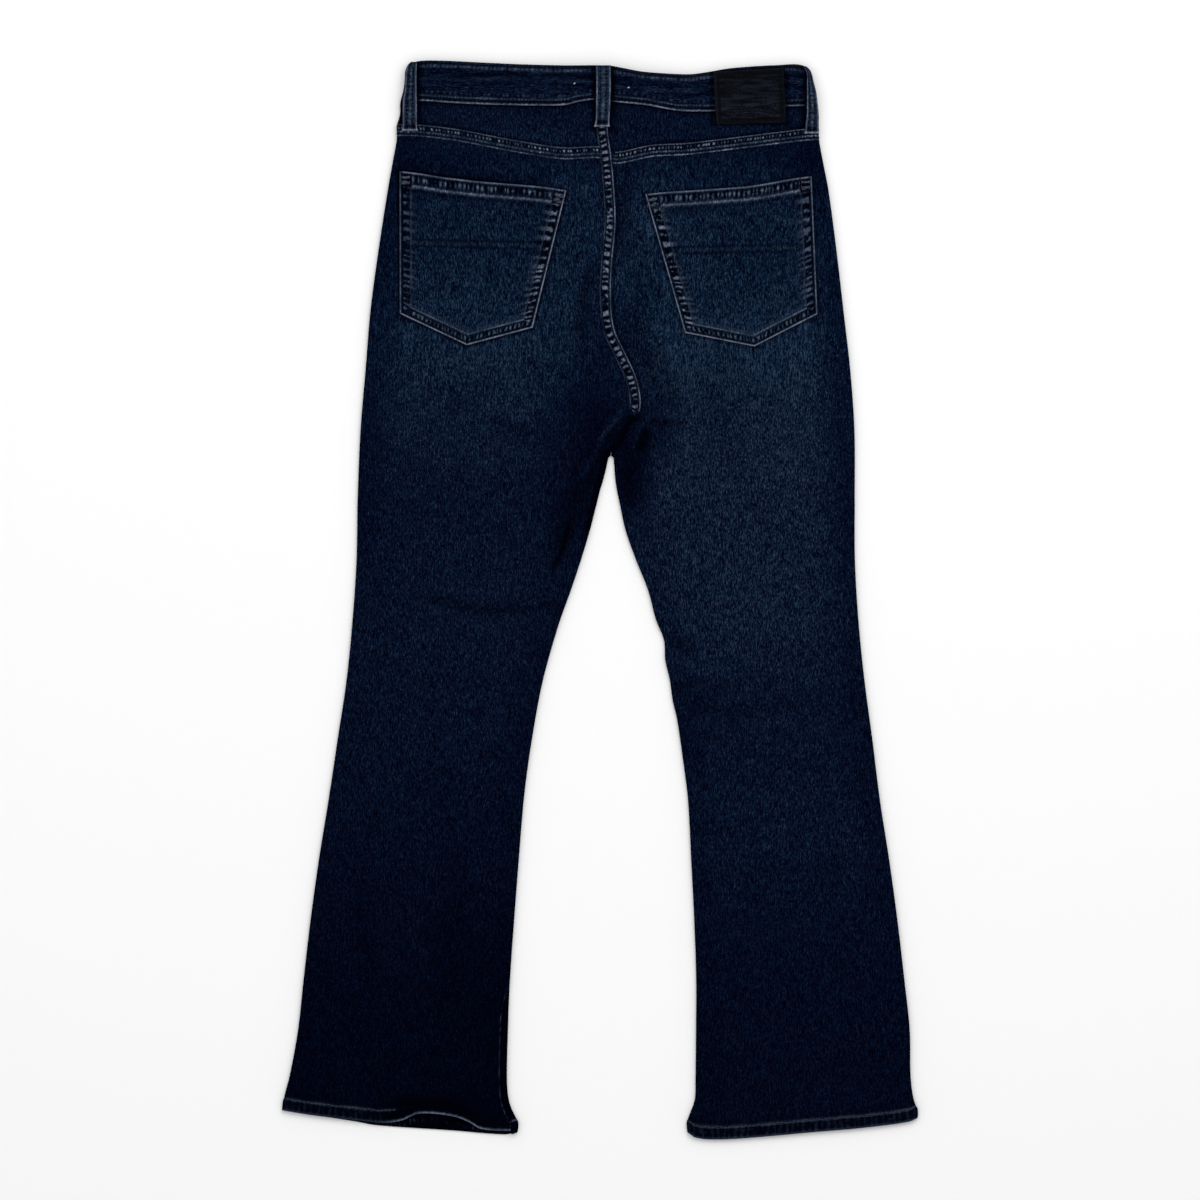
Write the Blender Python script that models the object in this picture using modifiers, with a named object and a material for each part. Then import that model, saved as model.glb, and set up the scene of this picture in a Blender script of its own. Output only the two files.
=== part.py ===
"""Bootcut jeans laid flat on a surface with the back up, built from the pieces that are cut and sewn.

Metres, +Z up out of the back of the jeans, +Y from the hems to the waist, +X to the wearer's right.
The origin is the middle of the footprint, on the surface that the jeans lie on. "Left" and "right" are
the wearer's, and so is the picture's, because the jeans are seen from behind.
"""

import math
from collections import namedtuple

import bmesh
import bpy

# ---------------------------------------------------------------- cloth
DENIM = 0.0012          # one layer of stretch denim
BAND_CLOTH = 0.0024     # the waistband is two layers
FRONT_BAND_CLOTH = 0.0021   # and its front is pressed thinner
LOOP_CLOTH = 0.0018     # a belt loop is a folded strip
PATCH_CLOTH = 0.0016    # the patch at the waist
SEAM_GAP = 0.0004       # between pieces that are sewn to each other
SIDE_GAP = 0.0012       # at a side seam, where both walls are turned on edge
BAND_SIDE_GAP = 0.0006  # from there to each waistband piece

# ---------------------------------------------------------------- lie of the layers
LEG_TOP = 0.0052        # outer face of the back of the legs, above the floor
SEAT_TOP = 0.0063       # and of the seat, which has more layers under it
SEAT_FROM, SEAT_TO = 0.06, 0.30     # levels between which the one rises to the other
ROLL = 0.0036           # how far in from the outline a folded side turns over
ROLL_ARC = 0.0044       # length of cloth in that quarter turn
SIDE_SEAM_TOP = 0.0024  # height of the side seam

# ---------------------------------------------------------------- seams and hems
FELL_WIDTH, FELL_RISE, FELL_SHOULDER = 0.0110, 0.0009, 0.0020   # the thick flat seams of the seat
HEM_DEPTH, HEM_RISE, HEM_SHOULDER = 0.0125, 0.0014, 0.0020      # the turned-up hems
FRONT_HEM_RISE = 0.0008 # away from the inseams and side seams
CROTCH = 0.1450         # level where the two legs part
CROTCH_BLEND = 0.0200   # along which the seams run out to the edges of the gap
CROTCH_HALF_GAP = 0.0010    # between the fronts there
SEAT_SEAM_END = 0.1850  # level where the back seam runs under
TUCK = 0.0090           # along which it does
CROTCH_TURN = 0.0040    # each way from the crotch, over which the fronts' inner edges start to turn
FELL_ENDS = (0.0020, 0.0060)    # below and above the back seam's end, between which its fell starts
FRONT_HEM_FROM_SIDE = (0.0090, 0.0140)      # the fronts' hems thicken between these, in from the edges

# ---------------------------------------------------------------- pockets, loops, patch and button
POCKET_HEM, POCKET_TURNING = 0.0140, 0.0115     # turned top edge and turned sides
POCKET_RISE, POCKET_SAG = 0.0007, 0.0007        # of those edges, and of the slack middle
POCKET_SHOULDER = 0.0020    # over which the turned edges thin out
LOOP_WIDTH, LOOP_BELOW_BAND, LOOP_BOW = 0.0150, 0.0265, 0.0012
LOOP_TOP_IN = 0.0006    # from the waistband's top edge to a loop's
LOOP_STAND, PATCH_STAND = 0.0001, 0.0002    # over the cloth and the seam gap
LOOP_BRIDGE, PATCH_BRIDGE = 0.0160, 0.0130  # slope from the waistband down to the yoke, under each
BRIDGE_TOP = 0.0020     # where that slope starts, below the seam
FELL_SLOPE_DOWN, FELL_SLOPE_ACROSS = (0.0160, 0.0100), 0.0100   # the same, over the felled seams
FRONT_LOOP_FROM_CENTRE = 0.0950
FRONT_LIFT = 0.0021     # the front's waist lies this much higher, on its belt loops
BUTTON_RADIUS, BUTTON_HEIGHT = 0.0085, 0.0022
BUTTON_ROUND, BUTTON_DISH = 0.0005, 0.0003
BUTTON_BACK, BUTTON_RIM_OUT, BUTTON_RIM_IN = 0.80, 0.72, 0.66       # as shares of its radius
BUTTON_LIFT = 0.0026    # and this much higher over the button
WAIST_RISE = 0.0008     # rise of the back at the waist
WAIST_RISE_LEVELS = (0.4200, 0.4520)    # levels between which it comes in, and the lift over the loops
BULGE = 0.0030          # and over the buttoned overlap
BULGE_ACROSS = (0.0950, 0.0300)     # distances from the middle of the front between which it comes in
BULGE_LEVELS = (0.4250, 0.4900)
LOOP_LIFT_ACROSS = (0.1500, 0.1120)
BUTTON_LIFT_ACROSS = (0.0420, 0.0180)
BUTTON_LIFT_LEVELS = (0.4400, 0.4800)
OVERLAP = 0.0210        # each waistband end passes the middle of the front by this
LAP_STEP = (0.0220, 0.0030)     # past that, the end underneath steps up over the other
SCOOP_WIDTH, SCOOP_DEPTH, FACING_MARGIN = 0.1050, 0.0720, 0.0160    # front pocket mouths
FACING_BELOW = 0.0160   # depth of the hip piece past its curve
FACING_SIDE_GAP = 0.0002    # between it and the side seam's walls
FACING_CLOTH = 0.0010
POCKET_GAP = 0.0009     # from a front to the hip piece behind it
SCOOP_REACH = 0.2000    # over which the front's sections take the shape of the pocket mouth
BAND_SIDE_LEVEL = 0.4600    # level that gives the side from which the mouth is measured
CENTRE_FRONT = 0.0090   # x of the middle of the front
FRONT_RISE = 0.3000     # length of the front seam and fly

Edge = namedtuple("Edge", "level left right")
Point = namedtuple("Point", "x y")
Fold = namedtuple("Fold", "x1 y1 x2 y2 bow width height")

# Outline of the jeans on each outer side, from the waist to the hems.
OUTER = (
    Edge(0.5400, -0.1900, 0.2040),
    Edge(0.5300, -0.1950, 0.2090),
    Edge(0.5200, -0.1956, 0.2140),
    Edge(0.5080, -0.1970, 0.2172),
    Edge(0.4970, -0.2000, 0.2178),
    Edge(0.4700, -0.2045, 0.2188),
    Edge(0.4100, -0.2125, 0.2285),
    Edge(0.3500, -0.2215, 0.2365),
    Edge(0.2900, -0.2295, 0.2435),
    Edge(0.2300, -0.2345, 0.2503),
    Edge(0.1700, -0.2395, 0.2545),
    Edge(0.1000, -0.2424, 0.2548),
    Edge(0.0400, -0.2435, 0.2550),
    Edge(-0.0200, -0.2475, 0.2585),
    Edge(-0.0800, -0.2535, 0.2645),
    Edge(-0.1400, -0.2625, 0.2725),
    Edge(-0.2000, -0.2715, 0.2800),
    Edge(-0.2600, -0.2812, 0.2893),
    Edge(-0.3200, -0.2895, 0.2975),
    Edge(-0.3800, -0.2965, 0.3045),
    Edge(-0.4300, -0.3020, 0.3098),
    Edge(-0.4750, -0.3102, 0.3106),
    Edge(-0.4980, -0.3160, 0.3134),
    Edge(-0.5120, -0.3175, 0.3175),
    Edge(-0.5400, -0.3175, 0.3130),
)

# Outline of the gap between the legs.
INNER = (
    Edge(0.1450, 0.0098, 0.0118),
    Edge(0.1200, 0.0040, 0.0130),
    Edge(0.1000, -0.0020, 0.0175),
    Edge(0.0700, -0.0100, 0.0255),
    Edge(0.0400, -0.0190, 0.0360),
    Edge(0.0100, -0.0290, 0.0468),
    Edge(-0.0200, -0.0398, 0.0560),
    Edge(-0.0400, -0.0460, 0.0640),
    Edge(-0.0600, -0.0518, 0.0652),
    Edge(-0.0800, -0.0570, 0.0688),
    Edge(-0.1000, -0.0612, 0.0712),
    Edge(-0.1200, -0.0648, 0.0772),
    Edge(-0.1600, -0.0712, 0.0830),
    Edge(-0.2000, -0.0762, 0.0880),
    Edge(-0.2600, -0.0812, 0.0912),
    Edge(-0.3200, -0.0858, 0.0942),
    Edge(-0.3800, -0.0900, 0.0962),
    Edge(-0.4300, -0.0920, 0.0960),
    Edge(-0.4800, -0.0930, 0.0955),
    Edge(-0.5000, -0.0912, 0.0948),
    Edge(-0.5120, -0.0870, 0.0905),
    Edge(-0.5220, -0.0822, 0.0872),
    Edge(-0.5400, -0.0840, 0.0890),
)

# The back seam: down the middle of the seat, then under, where one leg lies against the other.
SEAT_SEAM = (
    Point(0.0066, 0.5000),
    Point(0.0075, 0.4700),
    Point(0.0108, 0.4450),
    Point(0.0138, 0.4130),
    Point(0.0153, 0.3780),
    Point(0.0118, 0.3370),
    Point(0.0106, 0.3050),
    Point(0.0138, 0.2720),
    Point(0.0245, 0.2480),
    Point(0.0355, 0.2240),
    Point(0.0402, 0.2030),
    Point(0.0385, 0.1870),
    Point(0.0290, 0.1780),
    Point(0.0200, 0.1680),
    Point(0.0135, 0.1570),
    Point(0.0108, 0.1450),
)

# Level of each seam or edge that runs across, from the wearer's left to the right.
WAIST_EDGE = (
    Point(-0.1960, 0.5330), Point(-0.1830, 0.5385), Point(-0.1600, 0.5393), Point(-0.1200, 0.5375),
    Point(-0.0750, 0.5355), Point(-0.0350, 0.5345), Point(0.0085, 0.5343), Point(0.0250, 0.5315),
    Point(0.0410, 0.5285), Point(0.0650, 0.5265), Point(0.0900, 0.5257), Point(0.1050, 0.5275),
    Point(0.1290, 0.5315), Point(0.1520, 0.5335), Point(0.1770, 0.5348), Point(0.2000, 0.5352),
    Point(0.2140, 0.5290),
)
BAND_SEAM = (
    Point(-0.2050, 0.4972), Point(-0.1580, 0.4960), Point(-0.0970, 0.4950), Point(-0.0450, 0.4957),
    Point(0.0000, 0.4975), Point(0.0465, 0.4948), Point(0.0800, 0.4903), Point(0.1150, 0.4890),
    Point(0.1870, 0.4935), Point(0.2200, 0.4943),
)
FRONT_BAND_SEAM = (
    Point(-0.2050, 0.4962), Point(-0.1000, 0.4925), Point(0.0090, 0.4910), Point(0.1150, 0.4905),
    Point(0.2200, 0.4938),
)
YOKE_SEAM = (
    Point(-0.2060, 0.4645), Point(-0.1795, 0.4640), Point(-0.1430, 0.4590), Point(-0.0970, 0.4500),
    Point(-0.0590, 0.4440), Point(-0.0285, 0.4412), Point(0.0020, 0.4400), Point(0.0220, 0.4402),
    Point(0.0540, 0.4432), Point(0.1075, 0.4478), Point(0.1535, 0.4538), Point(0.2010, 0.4592),
    Point(0.2200, 0.4605),
)
HEM_LEFT_FRONT = (
    Point(-0.3175, -0.5105), Point(-0.2450, -0.5215), Point(-0.2240, -0.5252), Point(-0.1500, -0.5303),
    Point(-0.0930, -0.5345), Point(-0.0820, -0.5318),
)
HEM_LEFT_BACK = (
    Point(-0.3175, -0.5105), Point(-0.2860, -0.5155), Point(-0.2330, -0.5215), Point(-0.2160, -0.5230),
    Point(-0.1980, -0.5205), Point(-0.1830, -0.5140), Point(-0.1660, -0.5138), Point(-0.1440, -0.5175),
    Point(-0.1315, -0.5225), Point(-0.1190, -0.5290), Point(-0.0920, -0.5310), Point(-0.0820, -0.5300),
)
HEM_RIGHT = (
    Point(0.0870, -0.5320), Point(0.0960, -0.5378), Point(0.1200, -0.5395), Point(0.1600, -0.5372),
    Point(0.2100, -0.5335), Point(0.2600, -0.5282), Point(0.3080, -0.5220), Point(0.3175, -0.5180),
)

# Ridges, and troughs with a height below zero, each along a line from 1 to 2 that bows to one side.
FOLDS = (
    Fold(0.0100, 0.1750, -0.0560, 0.0350, -0.0060, 0.0130, -0.0020),    # left thigh, from the crotch
    Fold(-0.0150, 0.1850, -0.0850, 0.0500, -0.0080, 0.0160, 0.0014),
    Fold(0.0520, 0.1840, 0.0270, 0.1440, 0.0030, 0.0070, 0.0016),       # right thigh, from the crotch
    Fold(0.0560, 0.1720, 0.0430, 0.1380, 0.0020, 0.0080, -0.0018),
    Fold(0.0430, 0.1300, 0.0640, 0.0500, 0.0040, 0.0150, -0.0010),
    Fold(0.0260, 0.2950, 0.0760, 0.1950, 0.0050, 0.0160, -0.0011),      # seat
    Fold(-0.0080, 0.3300, -0.0180, 0.2600, 0.0020, 0.0100, -0.0008),
    Fold(-0.1150, 0.1880, -0.0560, 0.1580, 0.0020, 0.0090, -0.0008),
    Fold(-0.1950, 0.0130, -0.0520, 0.0040, 0.0120, 0.0100, -0.0017),    # left knee
    Fold(-0.1850, 0.0330, -0.0600, 0.0250, 0.0100, 0.0120, 0.0010),
    Fold(-0.1500, -0.0550, -0.0650, -0.0400, 0.0050, 0.0120, 0.0008),
    Fold(0.0660, -0.0400, 0.1350, -0.0520, 0.0020, 0.0090, -0.0014),    # right knee
    Fold(0.0720, -0.0560, 0.1500, -0.0760, 0.0020, 0.0110, 0.0011),
    Fold(0.0740, -0.1030, 0.2150, -0.0960, 0.0100, 0.0100, -0.0013),
    Fold(0.0800, -0.1250, 0.2100, -0.1200, 0.0060, 0.0130, 0.0009),
    Fold(0.1300, -0.2720, 0.2850, -0.2600, 0.0030, 0.0090, -0.0009),    # right shin
    Fold(-0.1600, -0.2500, -0.1900, -0.3900, 0.0080, 0.0220, 0.0012),   # left shin
    Fold(0.1850, -0.4550, 0.2550, -0.5200, 0.0050, 0.0180, 0.0010),     # right hem
)

# The left leg's hem stands up in an arch that shows the front's hem under it.
ARCH_X, ARCH_HALF_WIDTH, ARCH_RISE, ARCH_LENGTH = -0.1620, 0.0440, 0.0062, 0.0850

# Left inseam near the hem: it lies on top, this far in from the outline, between these levels.
INSEAM_TURN_FROM, INSEAM_TURN_TO, INSEAM_IN, INSEAM_GAP = -0.3700, -0.4200, 0.0062, 0.0006

# Back pocket corners: outer and inner top, inner and outer bottom, and the point.
Pocket = namedtuple("Pocket", "outer_top inner_top inner_bottom point outer_bottom")
POCKETS = {
    "left": Pocket(Point(-0.2005, 0.4290), Point(-0.0337, 0.4095), Point(-0.0673, 0.2723),
                   Point(-0.1332, 0.2550), Point(-0.2003, 0.2872)),
    "right": Pocket(Point(0.2119, 0.4237), Point(0.0453, 0.4050), Point(0.0850, 0.2678),
                    Point(0.1545, 0.2539), Point(0.2175, 0.2868)),
}
PATCH_LEFT, PATCH_RIGHT, PATCH_BOTTOM = 0.1130, 0.1860, 0.4765
PATCH_TOP_IN = 0.0012   # below the waistband's top edge

# ---------------------------------------------------------------- sections
# Distances in from an edge at which a panel has points, how many points lie between, and the levels of
# its sections as (from, to, number of rows).
BACK_EDGE_STEPS = (0.0, 0.0018, ROLL_ARC, FELL_WIDTH, FELL_WIDTH + FELL_SHOULDER)
SIDE_STEPS = BACK_EDGE_STEPS[:3]       # over the turn of a side
FRONT_EDGE_STEPS = (0.0, 0.0018, ROLL_ARC, 0.0120)
POCKET_EDGE_STEPS = (0.0, 0.0025, POCKET_TURNING, POCKET_TURNING + POCKET_SHOULDER)
BACK_BETWEEN, FRONT_BETWEEN, YOKE_BETWEEN = 8, 5, 9
BAND_BACK_BETWEEN, BAND_FRONT_BETWEEN = 22, 11
FACING_BETWEEN, POCKET_BETWEEN, POCKET_BETWEEN_ROWS = 6, 5, 5
YOKE_ROWS, BAND_ROWS, FACING_ROWS, BACK_LOOP_ROWS, FRONT_LOOP_ROWS = 5, 3, 6, 12, 8
LOOP_COLUMNS, PATCH_GRID = 2, (7, 6)
BUTTON_STEPS, BUTTON_MERGE = 20, 0.00005
BACK_TOP_LEVEL, BACK_HEM_LEVEL = 0.4500, -0.5200
BACK_LEVELS = (
    (BACK_TOP_LEVEL, 0.2100, 10), (0.2100, 0.1900, 2), (0.1900, 0.1400, 5), (0.1400, -0.1300, 13),
    (-0.1300, -0.4800, 9), (-0.4800, BACK_HEM_LEVEL + HEM_DEPTH + HEM_SHOULDER, 2),
    (BACK_HEM_LEVEL + HEM_DEPTH + HEM_SHOULDER, BACK_HEM_LEVEL + HEM_DEPTH, 1),
    (BACK_HEM_LEVEL + HEM_DEPTH, BACK_HEM_LEVEL, 1),
)
FRONT_TOP_LEVEL, FRONT_HEM_LEVEL = 0.4950, -0.5250
FRONT_LEVELS = (
    (FRONT_TOP_LEVEL, 0.4000, 6), (0.4000, 0.1600, 4), (0.1600, 0.1300, 2), (0.1300, -0.3600, 8),
    (-0.3600, -0.4400, 2), (-0.4400, FRONT_HEM_LEVEL + HEM_DEPTH + HEM_SHOULDER, 2),
    (FRONT_HEM_LEVEL + HEM_DEPTH + HEM_SHOULDER, FRONT_HEM_LEVEL + HEM_DEPTH, 1),
    (FRONT_HEM_LEVEL + HEM_DEPTH, FRONT_HEM_LEVEL, 1),
)
TOP_SLANT_DEPTH, HEM_SLANT_DEPTH = 0.1200, 0.1000   # over which sections take an edge's slant
UPPER_SLIP = 0.0200     # over which the top section leaves its seam
HEM_LEVEL = -0.4000     # hems lie below this
FRONT_EDGE_DROP = 0.0030    # the front's top edge lies this much lower than the back's

# ---------------------------------------------------------------- finish
INDIGO = (0.009, 0.018, 0.040)
INDIGO_WORN = (0.022, 0.033, 0.055)
BLACK_LEATHER = (0.008, 0.009, 0.013)
DARK_METAL = (0.20, 0.17, 0.14)


def mix(start, end, share):
    return start + (end - start) * share


def ease(value, start, end):
    """0 before start, 1 after end, and smooth between them. start may be above end."""
    share = min(1.0, max(0.0, (value - start) / (end - start)))
    return share * share * (3 - 2 * share)


def read(table, key, column, at):
    """A smooth curve through a table's rows: the value of column where key is at."""
    rows = sorted(table, key=lambda row: getattr(row, key))
    keys = [getattr(row, key) for row in rows]
    values = [getattr(row, column) for row in rows]
    at = min(keys[-1], max(keys[0], at))
    i = max(1, min(len(rows) - 1, sum(k < at for k in keys)))

    def slope(n):
        low, high = max(0, n - 1), min(len(rows) - 1, n + 1)
        return (values[high] - values[low]) / (keys[high] - keys[low])

    span = keys[i] - keys[i - 1]
    t = (at - keys[i - 1]) / span
    return ((2 * t**3 - 3 * t**2 + 1) * values[i - 1] + (t**3 - 2 * t**2 + t) * span * slope(i - 1)
            + (3 * t**2 - 2 * t**3) * values[i] + (t**3 - t**2) * span * slope(i))


# ---------------------------------------------------------------- outline
def outer_x(side, y):
    return read(OUTER, "level", side, y)


def gap_x(side, y):
    return read(INNER, "level", side, y)


def seat_seam_x(y):
    return read(SEAT_SEAM, "y", "x", y)


def level_at(curve, x):
    return read(curve, "x", "y", x)


def back_inner_x(side, y):
    """Inner edge of a back leg panel: the seat seam, and below it the gap between the legs."""
    if y >= CROTCH:
        return seat_seam_x(y) + (SEAM_GAP / 2 if side == "right" else -SEAM_GAP / 2)
    edge = gap_x(side, y)
    meeting = gap_x("left", CROTCH) if side == "left" else gap_x("right", CROTCH)
    here = seat_seam_x(CROTCH) + (SEAM_GAP / 2 if side == "right" else -SEAM_GAP / 2)
    return edge + (here - meeting) * ease(y, CROTCH - CROTCH_BLEND, CROTCH)


def front_inner_x(side, y):
    """Inner edge of a front leg panel: the middle of the front, then the gap between the legs."""
    if y >= CROTCH:
        middle = mix(gap_x("left", CROTCH), gap_x("right", CROTCH), 0.5)
        straight = mix(middle, CENTRE_FRONT, min(1.0, (y - CROTCH) / FRONT_RISE))
        half = mix(CROTCH_HALF_GAP, SEAM_GAP / 2, ease(y, CROTCH, CROTCH + CROTCH_BLEND))
        return straight + (half if side == "right" else -half)
    return gap_x(side, y)


# ---------------------------------------------------------------- heights
def fold_height(x, y):
    total = 0.0
    for fold in FOLDS:
        along_x, along_y = fold.x2 - fold.x1, fold.y2 - fold.y1
        length = math.hypot(along_x, along_y)
        along = ((x - fold.x1) * along_x + (y - fold.y1) * along_y) / length**2
        if -0.2 < along < 1.2:
            across = ((x - fold.x1) * along_y - (y - fold.y1) * along_x) / length
            across -= fold.bow * (1 - (2 * along - 1) ** 2)
            ends = ease(along, -0.2, 0.25) * ease(along, 1.2, 0.7)
            total += fold.height * ends * math.exp(-((across / fold.width) ** 2))
    return total


def arch_height(x, y):
    """Rise of the left hem's arch."""
    across = (x - ARCH_X) / ARCH_HALF_WIDTH
    if abs(across) >= 1:
        return 0.0
    return ARCH_RISE * math.cos(across * math.pi / 2) ** 2 * ease(y, level_at(HEM_LEFT_BACK, x) + ARCH_LENGTH,
                                                                  level_at(HEM_LEFT_BACK, x))


def top_height(x, y):
    """Height of the outer face of a single layer of the back, away from the rolled sides."""
    height = mix(LEG_TOP, SEAT_TOP, ease(y, SEAT_FROM, SEAT_TO))
    height += WAIST_RISE * ease(y, *WAIST_RISE_LEVELS)
    height += BULGE * ease(abs(x - CENTRE_FRONT), *BULGE_ACROSS) * ease(y, *BULGE_LEVELS)
    return height + fold_height(x, y) + arch_height(x, y)


def front_lift(x, y):
    """Height of the outer face of the front above the floor: it lies on the button and the front loops."""
    off_centre = abs(x - CENTRE_FRONT)
    loops = FRONT_LIFT * ease(off_centre, *LOOP_LIFT_ACROSS) * ease(y, *WAIST_RISE_LEVELS)
    button = BUTTON_LIFT * ease(off_centre, *BUTTON_LIFT_ACROSS) * ease(y, *BUTTON_LIFT_LEVELS)
    return max(loops, button)


def side_path(length, top, depth=0.0):
    """(distance in from the outline, height) at a length of cloth from the side's edge, over the top if
    positive and under if negative. depth is how far the path lies inside the outer face."""
    turn = min(1.0, abs(length) / ROLL_ARC) * math.pi / 2
    flat = max(0.0, abs(length) - ROLL_ARC)
    inward = depth + (ROLL - depth) * (1 - math.cos(turn)) + flat
    end = top - depth if length > 0 else depth
    return inward, mix(SIDE_SEAM_TOP, end, math.sin(turn))


def slanted(distance, edge, y):
    """A distance square to an edge, as a distance along X."""
    return distance * math.hypot(1.0, (edge(y + 0.001) - edge(y - 0.001)) / 0.002)


def inseam_turn(side, y):
    """0 where the inseam is at the side's edge, 1 where it lies on top, near the left hem."""
    return ease(y, INSEAM_TURN_FROM, INSEAM_TURN_TO) if side == "left" else 0.0


def inseam_length(side, y):
    """Length of cloth from the side's edge to the inseam, over the top."""
    return inseam_turn(side, y) * (INSEAM_IN - ROLL + ROLL_ARC)


# ---------------------------------------------------------------- making pieces
def material(name, colour, roughness, metallic=0.0):
    made = bpy.data.materials.get(name) or bpy.data.materials.new(name)
    made.use_nodes = True
    shader = made.node_tree.nodes["Principled BSDF"]
    shader.inputs["Base Color"].default_value = (*colour, 1.0)
    shader.inputs["Roughness"].default_value = roughness
    shader.inputs["Metallic"].default_value = metallic
    return made


def add_object(name, mesh, finish):
    piece = bpy.data.objects.new(name, mesh)
    piece.data.materials.append(finish)
    bpy.data.collections["bootcut_jeans"].objects.link(piece)
    for face in mesh.polygons:
        face.use_smooth = True
    return piece


def cloth(name, columns, rows, place, wall, finish):
    """A wall of cloth: a grid whose points place(column, row) puts on one face, thickened by Solidify.

    Row 0 is nearest the waist and column 0 is furthest to the wearer's left. wall is a thickness, or
    a function of a point that gives it. The wall grows up from the face that is given."""
    bm = bmesh.new()
    bmesh.ops.create_grid(bm, x_segments=columns, y_segments=rows, size=0.5)
    for vert in bm.verts:
        vert.co = place(round((vert.co.x + 0.5) * columns), round((0.5 - vert.co.y) * rows))
    mesh = bpy.data.meshes.new(name)
    bm.to_mesh(mesh)
    bm.free()
    piece = add_object(name, mesh, finish)
    thickness = [wall(*vert.co) if callable(wall) else wall for vert in mesh.vertices]
    group = piece.vertex_groups.new(name="wall")
    for vert, thick in zip(mesh.vertices, thickness):
        group.add([vert.index], thick / max(thickness), "REPLACE")
    solidify = piece.modifiers.new("wall", "SOLIDIFY")
    solidify.thickness = max(thickness)
    solidify.offset = 1.0
    solidify.vertex_group = group.name
    return piece


def spaced(near_start, between, near_end):
    """Places across a panel, each (edge, distance from it or share between the edges' last places)."""
    places = [("start", d) for d in near_start]
    places += [("middle", (i + 1) / (between + 1)) for i in range(between)]
    return places + [("end", d) for d in reversed(near_end)]


def across_panel(place, x_at_start, x_at_end):
    """x of a place, from functions that give x at a distance from each edge."""
    kind, value, last_start, last_end = place
    if kind == "start":
        return x_at_start(value)
    if kind == "end":
        return x_at_end(value)
    return mix(x_at_start(last_start), x_at_end(last_end), value)


# ---------------------------------------------------------------- back legs
def levels_of(spans):
    levels = [spans[0][0]]
    for start, end, count in spans:
        levels += [mix(start, end, (i + 1) / count) for i in range(count)]
    return levels


def slanted_level(level, x, top_level, top_curve, hem_level, hem_curve):
    """A section's level at x: the sections near the top and the hem take the slant of that edge."""
    near_top = ease(level, top_level - TOP_SLANT_DEPTH, top_level)
    near_hem = ease(level, hem_level + HEM_SLANT_DEPTH, hem_level)
    return (level + near_top * (level_at(top_curve, x) - top_level)
            + near_hem * (level_at(hem_curve, x) - hem_level))


def rolled_inner(side, y):
    """0 where the inner edge of the back lies flat against a seam, 1 where it is a rolled edge."""
    return ease(y, SEAT_SEAM_END, SEAT_SEAM_END - TUCK)


def back_point(side, place, level, hem_curve):
    """A point of the inner face of a back leg panel."""
    sign = 1 if side == "left" else -1      # from the outer edge inwards along X
    kind, value = place
    x = mix(outer_x(side, level), back_inner_x(side, level), 0.5)
    for _ in range(4):
        y = slanted_level(level, x, BACK_TOP_LEVEL, YOKE_SEAM, BACK_HEM_LEVEL, hem_curve)
        y -= SEAM_GAP / 2 * ease(level, BACK_TOP_LEVEL - UPPER_SLIP, BACK_TOP_LEVEL)
        rolled = rolled_inner(side, y)
        over = inseam_length(side, y) + INSEAM_GAP * inseam_turn(side, y)

        def x_from_outer(length):
            inward = side_path(length, LEG_TOP, DENIM)[0]
            return outer_x(side, y) + sign * slanted(inward, lambda level: outer_x(side, level), y)

        def x_from_inner(length):
            inward = mix(length, side_path(length + over, LEG_TOP, DENIM)[0], rolled)
            edge = back_inner_x(side, y)
            return edge - sign * slanted(inward, lambda level: back_inner_x(side, level), y)

        last = BACK_EDGE_STEPS[-1]
        x = across_panel((kind, value, last, last), x_from_outer, x_from_inner)
    z = top_height(x, y) - DENIM
    if kind == "start":
        z = side_path(value + SIDE_GAP / 4, top_height(x, y), DENIM)[1]
    if kind == "end":
        z = mix(z, side_path(value + over + SIDE_GAP / 4, top_height(x, y), DENIM)[1], rolled)
    return x, y, z


def make_back_leg(side, finish):
    levels = levels_of(BACK_LEVELS)
    places = spaced(BACK_EDGE_STEPS, BACK_BETWEEN, BACK_EDGE_STEPS)
    if side == "right":
        places.reverse()
    hem_curve = HEM_LEFT_BACK if side == "left" else HEM_RIGHT

    def place(column, row):
        return back_point(side, places[column], levels[row], hem_curve)

    def wall(x, y, z):
        thick = DENIM + HEM_RISE * ease(y, level_at(hem_curve, x) + HEM_DEPTH + HEM_SHOULDER,
                                        level_at(hem_curve, x) + HEM_DEPTH) * (y < HEM_LEVEL)
        if side == "left":      # the felled seat seam lies on this panel
            in_from_seam = seat_seam_x(y) - x
            fell = ease(in_from_seam, FELL_WIDTH + FELL_SHOULDER, FELL_WIDTH)
            thick += FELL_RISE * fell * ease(y, SEAT_SEAM_END - FELL_ENDS[0], SEAT_SEAM_END + FELL_ENDS[1])
        return thick

    return cloth(f"back_leg_{side}", len(places) - 1, len(levels) - 1, place, wall, finish)


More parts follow.
